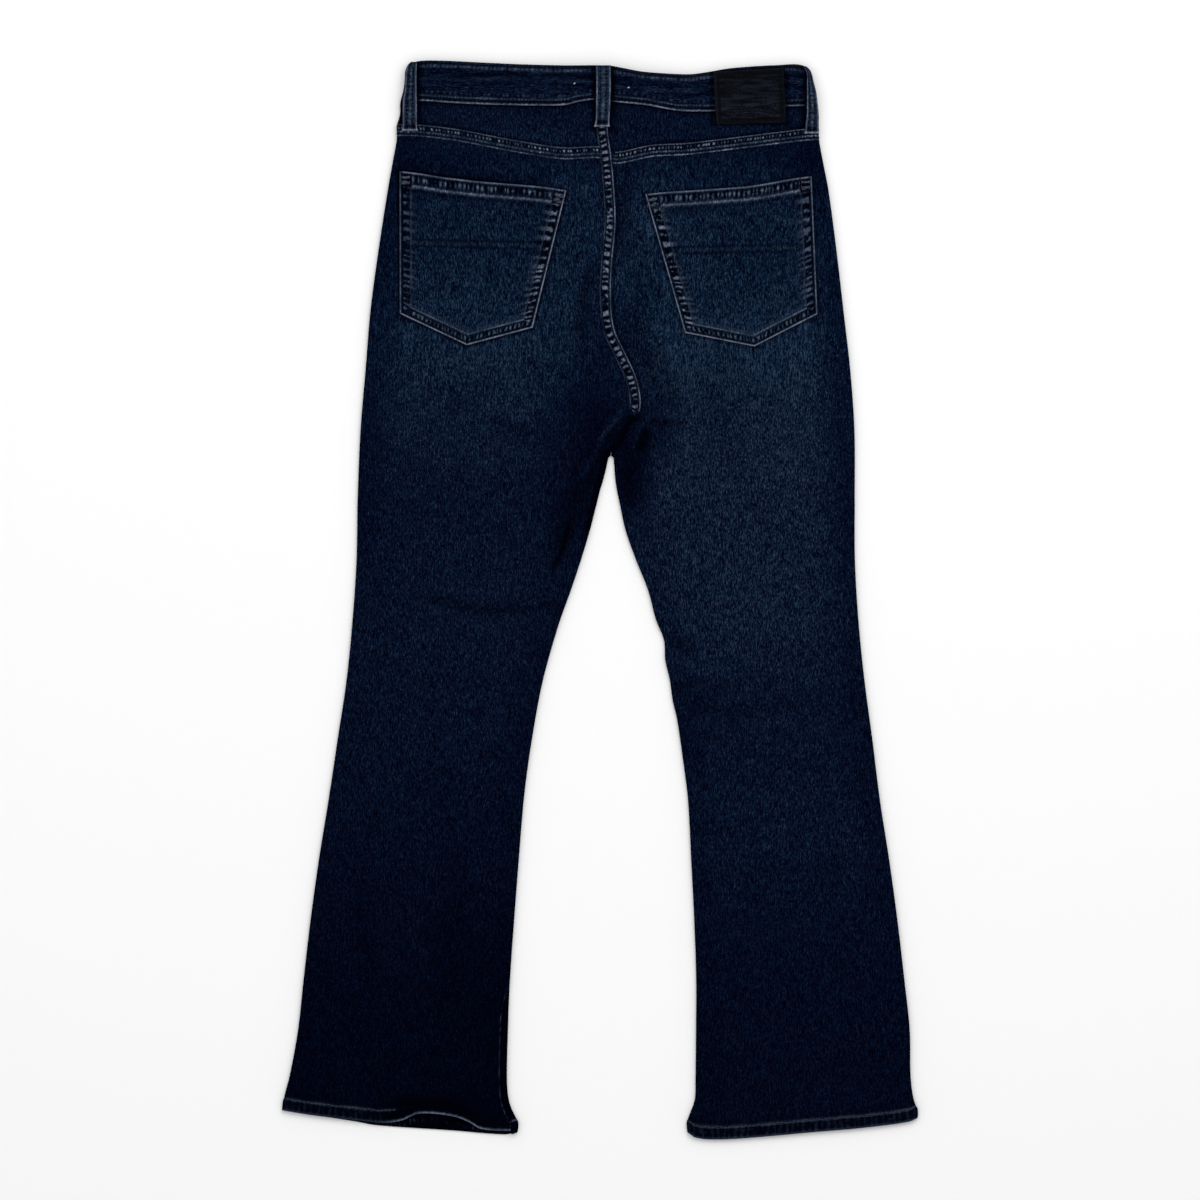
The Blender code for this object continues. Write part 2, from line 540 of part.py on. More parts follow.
# ---------------------------------------------------------------- yoke
def make_yoke(side, finish):
    places = spaced(SIDE_STEPS, YOKE_BETWEEN, BACK_EDGE_STEPS[:1] + BACK_EDGE_STEPS[-2:])
    if side == "right":
        places.reverse()
    sign = 1 if side == "left" else -1
    shoulder, fell = FELL_WIDTH + FELL_SHOULDER, FELL_WIDTH

    def row_level(x, row):
        top = level_at(BAND_SEAM, x) - SEAM_GAP / 2
        bottom = level_at(YOKE_SEAM, x) + SEAM_GAP / 2
        shares = [top, mix(top, bottom + shoulder, 0.5), bottom + shoulder, bottom + fell,
                  bottom + fell / 2, bottom]
        return shares[row]

    def place(column, row):
        kind, value = places[column]
        x = sign * -0.1
        for _ in range(4):
            y = row_level(x, row)

            def x_from_outer(length):
                return outer_x(side, y) + sign * side_path(length, SEAT_TOP, DENIM)[0]

            def x_from_inner(length):
                return seat_seam_x(y) - sign * (length + SEAM_GAP / 2)

            x = across_panel((kind, value, SIDE_STEPS[-1], BACK_EDGE_STEPS[-1]),
                             x_from_outer, x_from_inner)
        z = top_height(x, y) - DENIM
        if kind == "start":
            z = side_path(value + SIDE_GAP / 4, top_height(x, y), DENIM)[1]
        return x, y, z

    def wall(x, y, z):
        across = ease(y, level_at(YOKE_SEAM, x) + shoulder, level_at(YOKE_SEAM, x) + fell)
        down = ease(seat_seam_x(y) - x, shoulder, fell) if side == "left" else 0.0
        return DENIM + FELL_RISE * max(across, down)

    return cloth(f"yoke_{side}", len(places) - 1, YOKE_ROWS, place, wall, finish)


# ---------------------------------------------------------------- waistband
def band_top_height(x, y):
    return top_height(x, y) + BAND_CLOTH - DENIM


def make_waistband_back(finish):
    steps = SIDE_STEPS
    places = spaced(steps, BAND_BACK_BETWEEN, steps)

    def place(column, row):
        kind, value = places[column]
        x = 0.0
        for _ in range(4):
            y = mix(level_at(WAIST_EDGE, x), level_at(BAND_SEAM, x) + SEAM_GAP / 2, row / BAND_ROWS)

            def x_from_left(length):
                return outer_x("left", y) + side_path(length, SEAT_TOP, BAND_CLOTH)[0]

            def x_from_right(length):
                return outer_x("right", y) - side_path(length, SEAT_TOP, BAND_CLOTH)[0]

            x = across_panel((kind, value, steps[-1], steps[-1]), x_from_left, x_from_right)
        z = band_top_height(x, y) - BAND_CLOTH
        if kind != "middle":
            z = side_path(value + BAND_SIDE_GAP, band_top_height(x, y), BAND_CLOTH)[1]
        return x, y, z

    return cloth("waistband_back", len(places) - 1, BAND_ROWS, place, BAND_CLOTH, finish)


def make_waistband_front(side, finish):
    """The left end laps over the right end, on the outside, and carries the buttonhole."""
    steps = tuple(-step for step in SIDE_STEPS)
    sign = 1 if side == "left" else -1
    end_x = CENTRE_FRONT + sign * OVERLAP
    places = spaced(steps, BAND_FRONT_BETWEEN, (0.0,))
    if side == "right":
        places.reverse()

    def place(column, row):
        kind, value = places[column]
        x = mix(end_x, outer_x(side, 0.51), 0.5)
        for _ in range(4):
            y = mix(level_at(WAIST_EDGE, x) - FRONT_EDGE_DROP, level_at(FRONT_BAND_SEAM, x) + SEAM_GAP / 2,
                    row / BAND_ROWS)

            def x_from_side(length):
                return outer_x(side, y) + sign * side_path(length, 0.0)[0]

            x = across_panel((kind, value, steps[-1], 0.0), x_from_side, lambda length: end_x)
        z = front_lift(x, y)
        if side == "right":
            under_lap = ease(x, *(CENTRE_FRONT + OVERLAP + step for step in LAP_STEP))
            z += (BAND_CLOTH + SEAM_GAP) * under_lap
        if kind == "start":
            z = side_path(value - BAND_SIDE_GAP, 0.0)[1]
        return x, y, z

    return cloth(f"waistband_front_{side}", len(places) - 1, BAND_ROWS, place, FRONT_BAND_CLOTH, finish)


# ---------------------------------------------------------------- front legs
def scoop_drop(side, x):
    """How far below the waistband seam the front's top edge lies: the curved mouth of its pocket."""
    from_side = abs(x - outer_x(side, BAND_SIDE_LEVEL))
    share = min(1.0, from_side / SCOOP_WIDTH)
    return SCOOP_DEPTH * (1 - math.sin(math.acos(1 - share))) if share < 1 else 0.0


def make_front_leg(side, finish):
    levels = levels_of(FRONT_LEVELS)
    places = spaced(FRONT_EDGE_STEPS, FRONT_BETWEEN, FRONT_EDGE_STEPS)
    sign = 1 if side == "left" else -1
    if side == "right":
        places.reverse()
    hem_curve = HEM_LEFT_FRONT if side == "left" else HEM_RIGHT

    def place(column, row):
        kind, value = places[column]
        level = levels[row]
        x = mix(outer_x(side, level), front_inner_x(side, level), 0.5)
        for _ in range(6):
            y = slanted_level(level, x, FRONT_TOP_LEVEL, FRONT_BAND_SEAM, FRONT_HEM_LEVEL, hem_curve)
            y -= scoop_drop(side, x) * ease(level, FRONT_TOP_LEVEL - SCOOP_REACH, FRONT_TOP_LEVEL)
            y -= SEAM_GAP / 2 * ease(level, FRONT_TOP_LEVEL - UPPER_SLIP, FRONT_TOP_LEVEL)
            rolled = ease(y, CROTCH + CROTCH_TURN, CROTCH - CROTCH_TURN)
            over = inseam_length(side, y)
            length_from_inner = mix(over - INSEAM_GAP * inseam_turn(side, y), -FRONT_EDGE_STEPS[-1],
                                    value / FRONT_EDGE_STEPS[-1])

            def x_from_outer(length):
                inward = side_path(-length, 0.0)[0]
                return outer_x(side, y) + sign * slanted(inward, lambda level: outer_x(side, level), y)

            def x_from_inner(length):
                path = length_from_inner if kind == "end" else -FRONT_EDGE_STEPS[-1]
                inward = mix(length, side_path(path, 0.0)[0], rolled)
                edge = front_inner_x(side, y)
                return edge - sign * slanted(inward, lambda level: front_inner_x(side, level), y)

            last = FRONT_EDGE_STEPS[-1]
            x = across_panel((kind, value, last, last), x_from_outer, x_from_inner)
        z = front_lift(x, y)
        if kind == "start":
            z = max(z * (value > ROLL_ARC), side_path(-value - SIDE_GAP * 0.75, 0.0)[1])
        if kind == "end":
            gap = SIDE_GAP * 0.75 * (1 - inseam_turn(side, y))
            z = mix(z, side_path(length_from_inner - gap, top_height(x, y))[1], rolled)
        return x, y, z

    def wall(x, y, z):
        from_edges = min(abs(x - outer_x(side, y)), abs(x - front_inner_x(side, y)))
        hem = ease(y, level_at(hem_curve, x) + HEM_DEPTH + HEM_SHOULDER, level_at(hem_curve, x) + HEM_DEPTH)
        return DENIM + FRONT_HEM_RISE * hem * ease(from_edges, *FRONT_HEM_FROM_SIDE) * (y < HEM_LEVEL)

    return cloth(f"front_leg_{side}", len(places) - 1, len(levels) - 1, place, wall, finish)


def make_front_pocket(side, finish):
    """The hip piece that shows in the mouth of a front pocket, behind the front's curved edge."""
    steps, rows = SIDE_STEPS, FACING_ROWS
    sign = 1 if side == "left" else -1
    places = spaced(steps, FACING_BETWEEN, (0.0,))
    if side == "right":
        places.reverse()
    behind = DENIM + POCKET_GAP

    def place(column, row):
        kind, value = places[column]
        x = outer_x(side, BAND_SIDE_LEVEL) + sign * 0.05
        for _ in range(4):
            top = level_at(FRONT_BAND_SEAM, x) - SEAM_GAP / 2
            share = min(1.0, abs(x - outer_x(side, BAND_SIDE_LEVEL)) / (SCOOP_WIDTH + FACING_MARGIN))
            depth = (SCOOP_DEPTH + FACING_MARGIN) * math.sqrt(1 - share**2) + FACING_BELOW
            y = mix(top, top - depth, row / rows)

            def x_from_side(length):
                inward = side_path(-length, 0.0, behind)[0]
                return outer_x(side, y) + sign * (inward + FACING_SIDE_GAP)

            def x_at_end(length):
                return outer_x(side, BAND_SIDE_LEVEL) + sign * (SCOOP_WIDTH + FACING_MARGIN)

            x = across_panel((kind, value, steps[-1], 0.0), x_from_side, x_at_end)
        z = front_lift(x, y) + behind
        if kind == "start":
            z = max(z * (value >= ROLL_ARC), side_path(-value - SIDE_GAP * 1.5, 0.0, behind)[1])
        return x, y, z

    return cloth(f"front_pocket_{side}", len(places) - 1, rows, place, FACING_CLOTH, finish)


# ---------------------------------------------------------------- back pockets
def pocket_axes(corners):
    """(x, y) from shares across and down a pocket, whose bottom edge runs to a point."""
    def at(across, down):
        top_x = mix(corners.outer_top.x, corners.inner_top.x, across)
        top_y = mix(corners.outer_top.y, corners.inner_top.y, across)
        point_share = ((corners.point.x - corners.outer_bottom.x)
                       / (corners.inner_bottom.x - corners.outer_bottom.x))
        if across < point_share:
            share = across / point_share
            low_x = mix(corners.outer_bottom.x, corners.point.x, share)
            low_y = mix(corners.outer_bottom.y, corners.point.y, share)
        else:
            share = (across - point_share) / (1 - point_share)
            low_x = mix(corners.point.x, corners.inner_bottom.x, share)
            low_y = mix(corners.point.y, corners.inner_bottom.y, share)
        return mix(top_x, low_x, down), mix(top_y, low_y, down)
    return at


def make_back_pocket(side, finish):
    corners = POCKETS[side]
    at = pocket_axes(corners)
    width = abs(corners.inner_top.x - corners.outer_top.x)
    height = corners.outer_top.y - corners.outer_bottom.y
    across = [step / width for step in POCKET_EDGE_STEPS]
    inner = 1 - POCKET_EDGE_STEPS[-1] / width
    across += [mix(across[-1], inner, (i + 1) / (POCKET_BETWEEN + 1)) for i in range(POCKET_BETWEEN)]
    across += [1 - step / width for step in reversed(POCKET_EDGE_STEPS)]
    down = [0.0, POCKET_HEM / height, (POCKET_HEM + POCKET_SHOULDER) / height]
    low = 1 - POCKET_EDGE_STEPS[-1] / height
    down += [mix(down[-1], low, (i + 1) / (POCKET_BETWEEN_ROWS + 1)) for i in range(POCKET_BETWEEN_ROWS)]
    down += [1 - step / height for step in reversed(POCKET_EDGE_STEPS)]
    if side == "right":
        across.reverse()
    turned_at = {}

    def place(column, row):
        x, y = at(across[column], down[row])
        middle = math.sin(across[column] * math.pi) * math.sin(down[row] * math.pi)
        edge = min(across[column] * width, (1 - across[column]) * width, (1 - down[row]) * height)
        turned = max(ease(edge, POCKET_TURNING + POCKET_SHOULDER, POCKET_TURNING),
                     ease(down[row] * height, POCKET_HEM + POCKET_SHOULDER, POCKET_HEM))
        z = top_height(x, y) + SEAM_GAP + POCKET_SAG * middle
        turned_at[x, y] = turned
        return x, y, z

    def wall(x, y, z):
        nearest = min(turned_at, key=lambda point: math.dist(point, (x, y)))
        return DENIM + POCKET_RISE * turned_at[nearest]

    return cloth(f"back_pocket_{side}", len(across) - 1, len(down) - 1, place, wall, finish)


# ---------------------------------------------------------------- belt loops, patch and button
def surface_under(x, y, bridge):
    """Outer face of the waistband, and past its seam a slope of length bridge down to the yoke."""
    seam = level_at(BAND_SEAM, x)
    fell_top = level_at(YOKE_SEAM, x) + FELL_WIDTH
    drop = ease(y, seam - BRIDGE_TOP, seam - bridge)
    down = ease(abs(x - seat_seam_x(y) + FELL_WIDTH / 2), *FELL_SLOPE_DOWN)
    across = ease(y, fell_top + FELL_SLOPE_ACROSS, fell_top)
    return top_height(x, y) + (BAND_CLOTH - DENIM) * (1 - drop) + FELL_RISE * max(down, across)


def make_back_loop(name, middle_x, lean, finish):
    columns, rows = LOOP_COLUMNS, BACK_LOOP_ROWS

    def place(column, row):
        down = row / rows
        top = level_at(WAIST_EDGE, middle_x) - LOOP_TOP_IN
        bottom = level_at(BAND_SEAM, middle_x) - LOOP_BELOW_BAND
        y = mix(top, bottom, down)
        x = middle_x + lean * down + LOOP_WIDTH * (column / columns - 0.5)
        z = surface_under(middle_x + lean * down, y, LOOP_BRIDGE) + SEAM_GAP + LOOP_STAND
        z += LOOP_BOW * math.sin(math.pi * down) ** 2
        return x, y, z

    return cloth(name, columns, rows, place, LOOP_CLOTH, finish)


def make_front_loop(side, finish):
    """Flat on the floor, under the front's waistband."""
    columns, rows = LOOP_COLUMNS, FRONT_LOOP_ROWS
    middle_x = CENTRE_FRONT + (-1 if side == "left" else 1) * FRONT_LOOP_FROM_CENTRE

    def place(column, row):
        top = level_at(WAIST_EDGE, middle_x) - FRONT_EDGE_DROP - LOOP_TOP_IN
        bottom = level_at(FRONT_BAND_SEAM, middle_x) - LOOP_BELOW_BAND
        x = middle_x + LOOP_WIDTH * (column / columns - 0.5)
        return x, mix(top, bottom, row / rows), 0.0

    return cloth(f"belt_loop_front_{side}", columns, rows, place, LOOP_CLOTH, finish)


def make_patch(finish):
    columns, rows = PATCH_GRID

    def place(column, row):
        x = mix(PATCH_LEFT, PATCH_RIGHT, column / columns)
        y = mix(level_at(WAIST_EDGE, x) - PATCH_TOP_IN, PATCH_BOTTOM, row / rows)
        return x, y, surface_under(x, y, PATCH_BRIDGE) + SEAM_GAP + PATCH_STAND

    return cloth("waist_patch", columns, rows, place, PATCH_CLOTH, finish)


def make_button(finish):
    """A turned cap with a rounded edge, face down under the overlap."""
    radius, height = BUTTON_RADIUS, BUTTON_HEIGHT
    profile = [(0.0, height), (radius * BUTTON_BACK, height), (radius, height - BUTTON_ROUND),
               (radius, BUTTON_ROUND), (radius - BUTTON_ROUND, 0.0), (radius * BUTTON_RIM_OUT, 0.0),
               (radius * BUTTON_RIM_IN, BUTTON_DISH), (0.0, BUTTON_DISH)]
    mesh = bpy.data.meshes.new("button")
    mesh.from_pydata([(r, 0.0, z) for r, z in profile], [(i, i + 1) for i in range(len(profile) - 1)], [])
    button = add_object("button", mesh, finish)
    y = mix(level_at(WAIST_EDGE, CENTRE_FRONT) - FRONT_EDGE_DROP, level_at(FRONT_BAND_SEAM, CENTRE_FRONT), 0.5)
    button.location = (CENTRE_FRONT, y, 0.0)
    turn = button.modifiers.new("turn", "SCREW")
    turn.steps = turn.render_steps = BUTTON_STEPS
    turn.use_merge_vertices = True
    turn.merge_threshold = BUTTON_MERGE
    return button


def main():
    for old in list(bpy.data.objects):
        bpy.data.objects.remove(old, do_unlink=True)
    jeans = bpy.data.collections.new("bootcut_jeans")
    bpy.context.scene.collection.children.link(jeans)
    denim = material("indigo_denim", INDIGO, 0.85)
    worn = material("worn_denim", INDIGO_WORN, 0.85)
    leather = material("black_patch", BLACK_LEATHER, 0.55)
    metal = material("dark_metal", DARK_METAL, 0.4, 1.0)
    for side in ("left", "right"):
        make_back_leg(side, denim)
        make_yoke(side, denim)
        make_back_pocket(side, denim)
        make_front_leg(side, denim)
        make_front_pocket(side, denim)
        make_waistband_front(side, denim)
        make_front_loop(side, worn)
    make_waistband_back(denim)
    make_back_loop("belt_loop_back", 0.0032, -0.0012, worn)
    make_back_loop("belt_loop_left", -0.1868, -0.0036, worn)
    make_back_loop("belt_loop_right", 0.2085, 0.0024, worn)
    make_patch(leather)
    make_button(metal)


main()
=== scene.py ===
import math

import bmesh
import bpy
import numpy as np
from mathutils import Matrix, Vector


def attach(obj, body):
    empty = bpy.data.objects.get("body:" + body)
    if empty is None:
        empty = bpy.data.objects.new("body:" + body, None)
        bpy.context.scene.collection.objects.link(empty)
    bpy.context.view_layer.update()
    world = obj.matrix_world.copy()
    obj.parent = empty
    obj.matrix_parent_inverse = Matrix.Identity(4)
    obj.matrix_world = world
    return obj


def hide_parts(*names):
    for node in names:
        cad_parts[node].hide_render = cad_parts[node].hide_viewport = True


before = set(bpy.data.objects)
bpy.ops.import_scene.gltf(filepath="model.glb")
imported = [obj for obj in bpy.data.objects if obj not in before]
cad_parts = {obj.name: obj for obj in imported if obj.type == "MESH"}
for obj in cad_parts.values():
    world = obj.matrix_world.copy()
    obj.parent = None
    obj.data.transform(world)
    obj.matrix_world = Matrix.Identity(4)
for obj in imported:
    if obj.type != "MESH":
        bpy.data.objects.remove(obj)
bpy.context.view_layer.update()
print("frame loaded")

# Left and right are the wearer's. The jeans lie on their front, with the waist at +Y and the back up.

# How the layers lie on each other, in metres.
lie = {
    "legTop": 0.0052,               # outer face of the back of the legs
    "seatTop": 0.0063,              # and of the seat
    "seatRise": (0.06, 0.30),       # levels between which one becomes the other
    "waistRise": 0.0008,            # over the belt loops underneath
    "waistRiseAt": (0.420, 0.452),
    "bulge": 0.0030,                # over the buttoned overlap underneath
    "bulgeAcross": (0.095, 0.030),
    "bulgeAt": (0.425, 0.490),
    "roll": 0.0036,                 # how far in from the outline a folded side turns over
    "rollArc": 0.0044,              # length of cloth in that quarter turn
    "sideSeam": 0.0024,             # height of the side seam
    "cloth": 0.0010,
    "frontUp": 0.0003,              # the front's face stays this far above the floor
    "centreFront": 0.0090,
    "crotch": 0.1445,               # level where the legs part
    "hip": 0.4600,                  # level at which the front pocket mouths are set out
    "shin": -0.5100,                # and the front hems
    "seamEnd": 0.1850,              # level where the seat seam runs under
    "tuck": 0.0090,                 # the inner sides turn under within this much below it
}
inwardSign = {"left": 1, "right": -1}     # which way along X a leg's inner side is

# Outline and seams, seen from above: (level, left, right) along the sides of the legs, (level, x) along
# the seat seam and (x, level) along the rest.
outline = {
    "outer": (
        (0.5400, -0.1900, 0.2040), (0.5300, -0.1945, 0.2086), (0.5200, -0.1953, 0.2128),
        (0.5090, -0.1968, 0.2156), (0.4970, -0.1998, 0.2170), (0.4860, -0.2000, 0.2182),
        (0.4735, -0.2032, 0.2186), (0.4600, -0.2034, 0.2192), (0.4395, -0.2070, 0.2228),
        (0.4100, -0.2122, 0.2285), (0.3500, -0.2215, 0.2365), (0.2900, -0.2295, 0.2435),
        (0.2300, -0.2345, 0.2503), (0.1700, -0.2395, 0.2545), (0.1000, -0.2424, 0.2548),
        (0.0400, -0.2435, 0.2550), (-0.0200, -0.2475, 0.2585), (-0.0800, -0.2535, 0.2645),
        (-0.1400, -0.2625, 0.2725), (-0.2000, -0.2715, 0.2800), (-0.2600, -0.2812, 0.2893),
        (-0.3200, -0.2895, 0.2975), (-0.3800, -0.2965, 0.3045), (-0.4300, -0.3020, 0.3098),
        (-0.4750, -0.3102, 0.3106), (-0.4980, -0.3160, 0.3134), (-0.5120, -0.3175, 0.3175),
        (-0.5400, -0.3175, 0.3130),
    ),
    "inner": (
        (0.1445, 0.0088, 0.0134), (0.1320, 0.0062, 0.0144), (0.1200, 0.0032, 0.0154),
        (0.1095, 0.0000, 0.0170), (0.1000, -0.0024, 0.0190),
        (0.0700, -0.0100, 0.0255), (0.0400, -0.0190, 0.0360), (0.0100, -0.0290, 0.0480),
        (-0.0200, -0.0398, 0.0560), (-0.0400, -0.0460, 0.0640), (-0.0600, -0.0518, 0.0652),
        (-0.0800, -0.0570, 0.0698), (-0.1000, -0.0612, 0.0726), (-0.1200, -0.0648, 0.0772),
        (-0.1600, -0.0712, 0.0830), (-0.2000, -0.0762, 0.0880), (-0.2600, -0.0812, 0.0912),
        (-0.3200, -0.0858, 0.0942), (-0.3800, -0.0900, 0.0962), (-0.4300, -0.0920, 0.0960),
        (-0.4800, -0.0930, 0.0955), (-0.5000, -0.0912, 0.0948), (-0.5120, -0.0870, 0.0905),
        (-0.5220, -0.0822, 0.0872), (-0.5400, -0.0840, 0.0890),
    ),
    "seatSeam": (
        (0.5000, 0.0066), (0.4700, 0.0075), (0.4450, 0.0108), (0.4130, 0.0138), (0.3780, 0.0153),
        (0.3370, 0.0118), (0.3050, 0.0106), (0.2720, 0.0138), (0.2480, 0.0245), (0.2240, 0.0355),
        (0.2030, 0.0402), (0.1870, 0.0385), (0.1780, 0.0290), (0.1680, 0.0200), (0.1570, 0.0135),
        (0.1450, 0.0108),
    ),
    "waist": (
        (-0.1960, 0.5330), (-0.1830, 0.5385), (-0.1600, 0.5393), (-0.1200, 0.5375), (-0.0750, 0.5355),
        (-0.0350, 0.5345), (0.0085, 0.5343), (0.0250, 0.5315), (0.0410, 0.5285), (0.0650, 0.5265),
        (0.0900, 0.5257), (0.1050, 0.5275), (0.1290, 0.5315), (0.1520, 0.5335), (0.1770, 0.5348),
        (0.2000, 0.5352), (0.2140, 0.5290),
    ),
    "band": (
        (-0.2050, 0.4988), (-0.1810, 0.4990), (-0.1340, 0.4962), (-0.0820, 0.4946), (-0.0360, 0.4946),
        (-0.0205, 0.4982), (-0.0055, 0.4998), (0.0120, 0.4980), (0.0465, 0.4945), (0.0725, 0.4898),
        (0.0860, 0.4886), (0.1120, 0.4886), (0.1500, 0.4905), (0.1870, 0.4934), (0.2200, 0.4940),
    ),
    "frontBand": (
        (-0.2050, 0.4962), (-0.1000, 0.4925), (0.0090, 0.4910), (0.1150, 0.4905), (0.2200, 0.4938),
    ),
    "yoke": (
        (-0.2060, 0.4638), (-0.1795, 0.4630), (-0.1430, 0.4585), (-0.0880, 0.4480), (-0.0380, 0.4405),
        (0.0000, 0.4413), (0.0158, 0.4359), (0.0530, 0.4429), (0.0870, 0.4448), (0.1380, 0.4508),
        (0.2010, 0.4585), (0.2200, 0.4598),
    ),
    "hemLeftFront": (
        (-0.3175, -0.5105), (-0.2450, -0.5215), (-0.2240, -0.5252), (-0.1500, -0.5303),
        (-0.0930, -0.5345), (-0.0820, -0.5318),
    ),
    "hemLeftBack": (
        (-0.3175, -0.5105), (-0.2860, -0.5155), (-0.2330, -0.5215), (-0.2160, -0.5230),
        (-0.1980, -0.5205), (-0.1830, -0.5140), (-0.1660, -0.5136), (-0.1440, -0.5170),
        (-0.1315, -0.5220), (-0.1190, -0.5290), (-0.0920, -0.5310), (-0.0820, -0.5300),
    ),
    "hemRight": (
        (0.0870, -0.5320), (0.0960, -0.5378), (0.1200, -0.5395), (0.1600, -0.5370), (0.2100, -0.5325),
        (0.2600, -0.5282), (0.3080, -0.5220), (0.3175, -0.5180),
    ),
}

# Creases: each runs from 1 to 2 and bows to one side. A height below zero is a trough.
# The last column is how much painted shade darkens the cloth along it or, below zero, how much more worn
# it is.
creases = (
    # x1, y1, x2, y2, bow, width, height, dark
    (0.0100, 0.1750, -0.0560, 0.0350, -0.0060, 0.0130, -0.0020, 0.55),      # left thigh
    (-0.0180, 0.1780, -0.0850, 0.0500, -0.0080, 0.0160, 0.0014, -0.10),
    (0.0205, 0.1900, -0.0020, 0.1600, -0.0020, 0.0020, 0.0011, -1.10),
    (0.0090, 0.1800, -0.0230, 0.1180, -0.0030, 0.0022, 0.0007, -0.80),
    (0.0300, 0.1810, 0.0080, 0.1440, -0.0025, 0.0031, -0.0014, 1.40),
    (-0.0310, 0.0760, -0.0480, 0.0300, -0.0025, 0.0030, -0.0012, 0.95),
    (-0.1130, 0.1860, -0.0620, 0.1640, 0.0020, 0.0045, -0.0009, 0.35),
    (-0.1160, 0.1980, -0.0600, 0.1740, 0.0020, 0.0080, 0.0006, -0.15),
    (-0.1500, 0.1500, -0.0900, 0.1450, 0.0030, 0.0120, 0.0006, -0.10),
    (0.0480, 0.1840, 0.0330, 0.1480, 0.0020, 0.0021, 0.0012, -0.80),        # right thigh
    (0.0455, 0.1730, 0.0375, 0.1470, -0.0020, 0.0056, -0.0020, 1.50),
    (0.0460, 0.1790, 0.0860, 0.1712, -0.0020, 0.0034, -0.0008, 0.60),
    (0.0560, 0.1850, 0.0880, 0.1800, -0.0020, 0.0040, 0.0005, -0.25),
    (0.0300, 0.1380, 0.0300, 0.0900, 0.0020, 0.0080, -0.0009, 0.50),
    (0.0220, 0.1330, 0.0290, 0.1000, 0.0000, 0.0026, 0.0005, -0.15),
    (0.0430, 0.1300, 0.0640, 0.0500, 0.0040, 0.0150, -0.0008, 0.12),
    (0.0260, 0.2950, 0.0760, 0.1950, 0.0050, 0.0150, -0.0011, 0.45),        # seat
    (-0.0100, 0.3350, -0.0190, 0.2500, 0.0020, 0.0090, -0.0008, 0.55),
    (0.0240, 0.4250, 0.0220, 0.3300, 0.0010, 0.0110, -0.0006, 0.35),
    (-0.1800, 0.2200, -0.0900, 0.2300, -0.0080, 0.0200, 0.0008, -0.10),
    (0.0900, 0.2350, 0.2000, 0.2150, 0.0060, 0.0220, 0.0009, -0.08),
    (0.0700, 0.1950, 0.1900, 0.1850, 0.0060, 0.0150, -0.0006, 0.12),
    (-0.1850, 0.0060, -0.0330, -0.0020, 0.0120, 0.0036, -0.0018, 0.60),     # left knee
    (-0.1850, 0.0300, -0.0600, 0.0180, 0.0140, 0.0120, 0.0012, -0.12),
    (-0.1700, -0.0150, -0.0560, -0.0180, 0.0100, 0.0140, 0.0008, -0.05),
    (-0.1500, -0.0550, -0.0650, -0.0400, 0.0050, 0.0120, 0.0008, 0.00),
    (-0.2300, -0.0700, -0.1500, -0.0850, 0.0040, 0.0140, -0.0006, 0.10),
    (0.0640, -0.0360, 0.1000, -0.0500, 0.0020, 0.0060, -0.0016, 0.45),      # right knee
    (0.0700, -0.0600, 0.1500, -0.0760, 0.0020, 0.0090, 0.0011, -0.10),
    (0.0690, -0.0850, 0.1500, -0.0800, 0.0050, 0.0070, -0.0010, 0.30),
    (0.0740, -0.1030, 0.2150, -0.0960, 0.0100, 0.0080, -0.0012, 0.30),
    (0.1100, -0.0980, 0.2300, -0.0860, 0.0070, 0.0100, 0.0009, -0.10),
    (0.0800, -0.1250, 0.2100, -0.1200, 0.0060, 0.0110, 0.0009, -0.05),
    (0.1500, -0.0500, 0.2450, -0.0420, 0.0060, 0.0120, -0.0006, 0.12),
    (0.1300, -0.2720, 0.2850, -0.2600, 0.0030, 0.0060, -0.0008, 0.22),      # right shin
    (0.1000, -0.3200, 0.2000, -0.3300, 0.0040, 0.0160, 0.0007, -0.05),
    (-0.1600, -0.2500, -0.1900, -0.3900, 0.0080, 0.0220, 0.0012, -0.05),    # left shin
    (-0.2500, -0.2600, -0.2350, -0.4100, 0.0060, 0.0250, 0.0010, 0.00),
    (-0.1250, -0.3000, -0.1150, -0.4500, 0.0050, 0.0160, -0.0010, 0.20),
    (-0.1980, 0.4335, -0.0500, 0.4160, 0.0000, 0.0050, -0.0001, 0.50),      # shade over the left pocket
    (-0.2150, -0.5060, -0.1180, -0.5200, -0.0100, 0.0040, -0.0026, 1.05),   # painted shade above the left hem's arch
    (0.1850, -0.4550, 0.2550, -0.5200, 0.0050, 0.0180, 0.0010, 0.00),       # right hem
    (0.1150, -0.4300, 0.1250, -0.5100, 0.0050, 0.0150, -0.0007, 0.10),
)
arch = {"x": -0.1620, "halfWidth": 0.0440, "rise": 0.0062, "length": 0.0850}     # lifts the left back hem
inseamTurn = {"from": -0.3700, "to": -0.4200, "in": 0.0062, "gap": 0.0006}       # the left inseam, on top


def mix(start, end, share):
    return start + (end - start) * share


def ease(value, start, end):     # 0 before start, 1 after end; start may be above end
    share = np.clip((value - start) / (end - start), 0.0, 1.0)
    return share * share * (3 - 2 * share)


def within(value, start, full, last, end):     # 1 from full to last, 0 outside start and end
    return ease(value, start, full) * ease(value, end, last)


def bell(off, width):     # 1 where off is 0, next to nothing two widths away
    return np.exp(-((off / width) ** 2))


def blot(x, y, at, reach):     # the same round a point
    return np.exp(-(((x - at[0]) / reach[0]) ** 2 + ((y - at[1]) / reach[1]) ** 2))


def rounded(edge, radius):     # a quarter circle, from 0 at an edge to 1 at its radius
    return np.sqrt(np.clip(1 - np.clip(1 - edge / radius, 0, 1) ** 2, 0, 1))


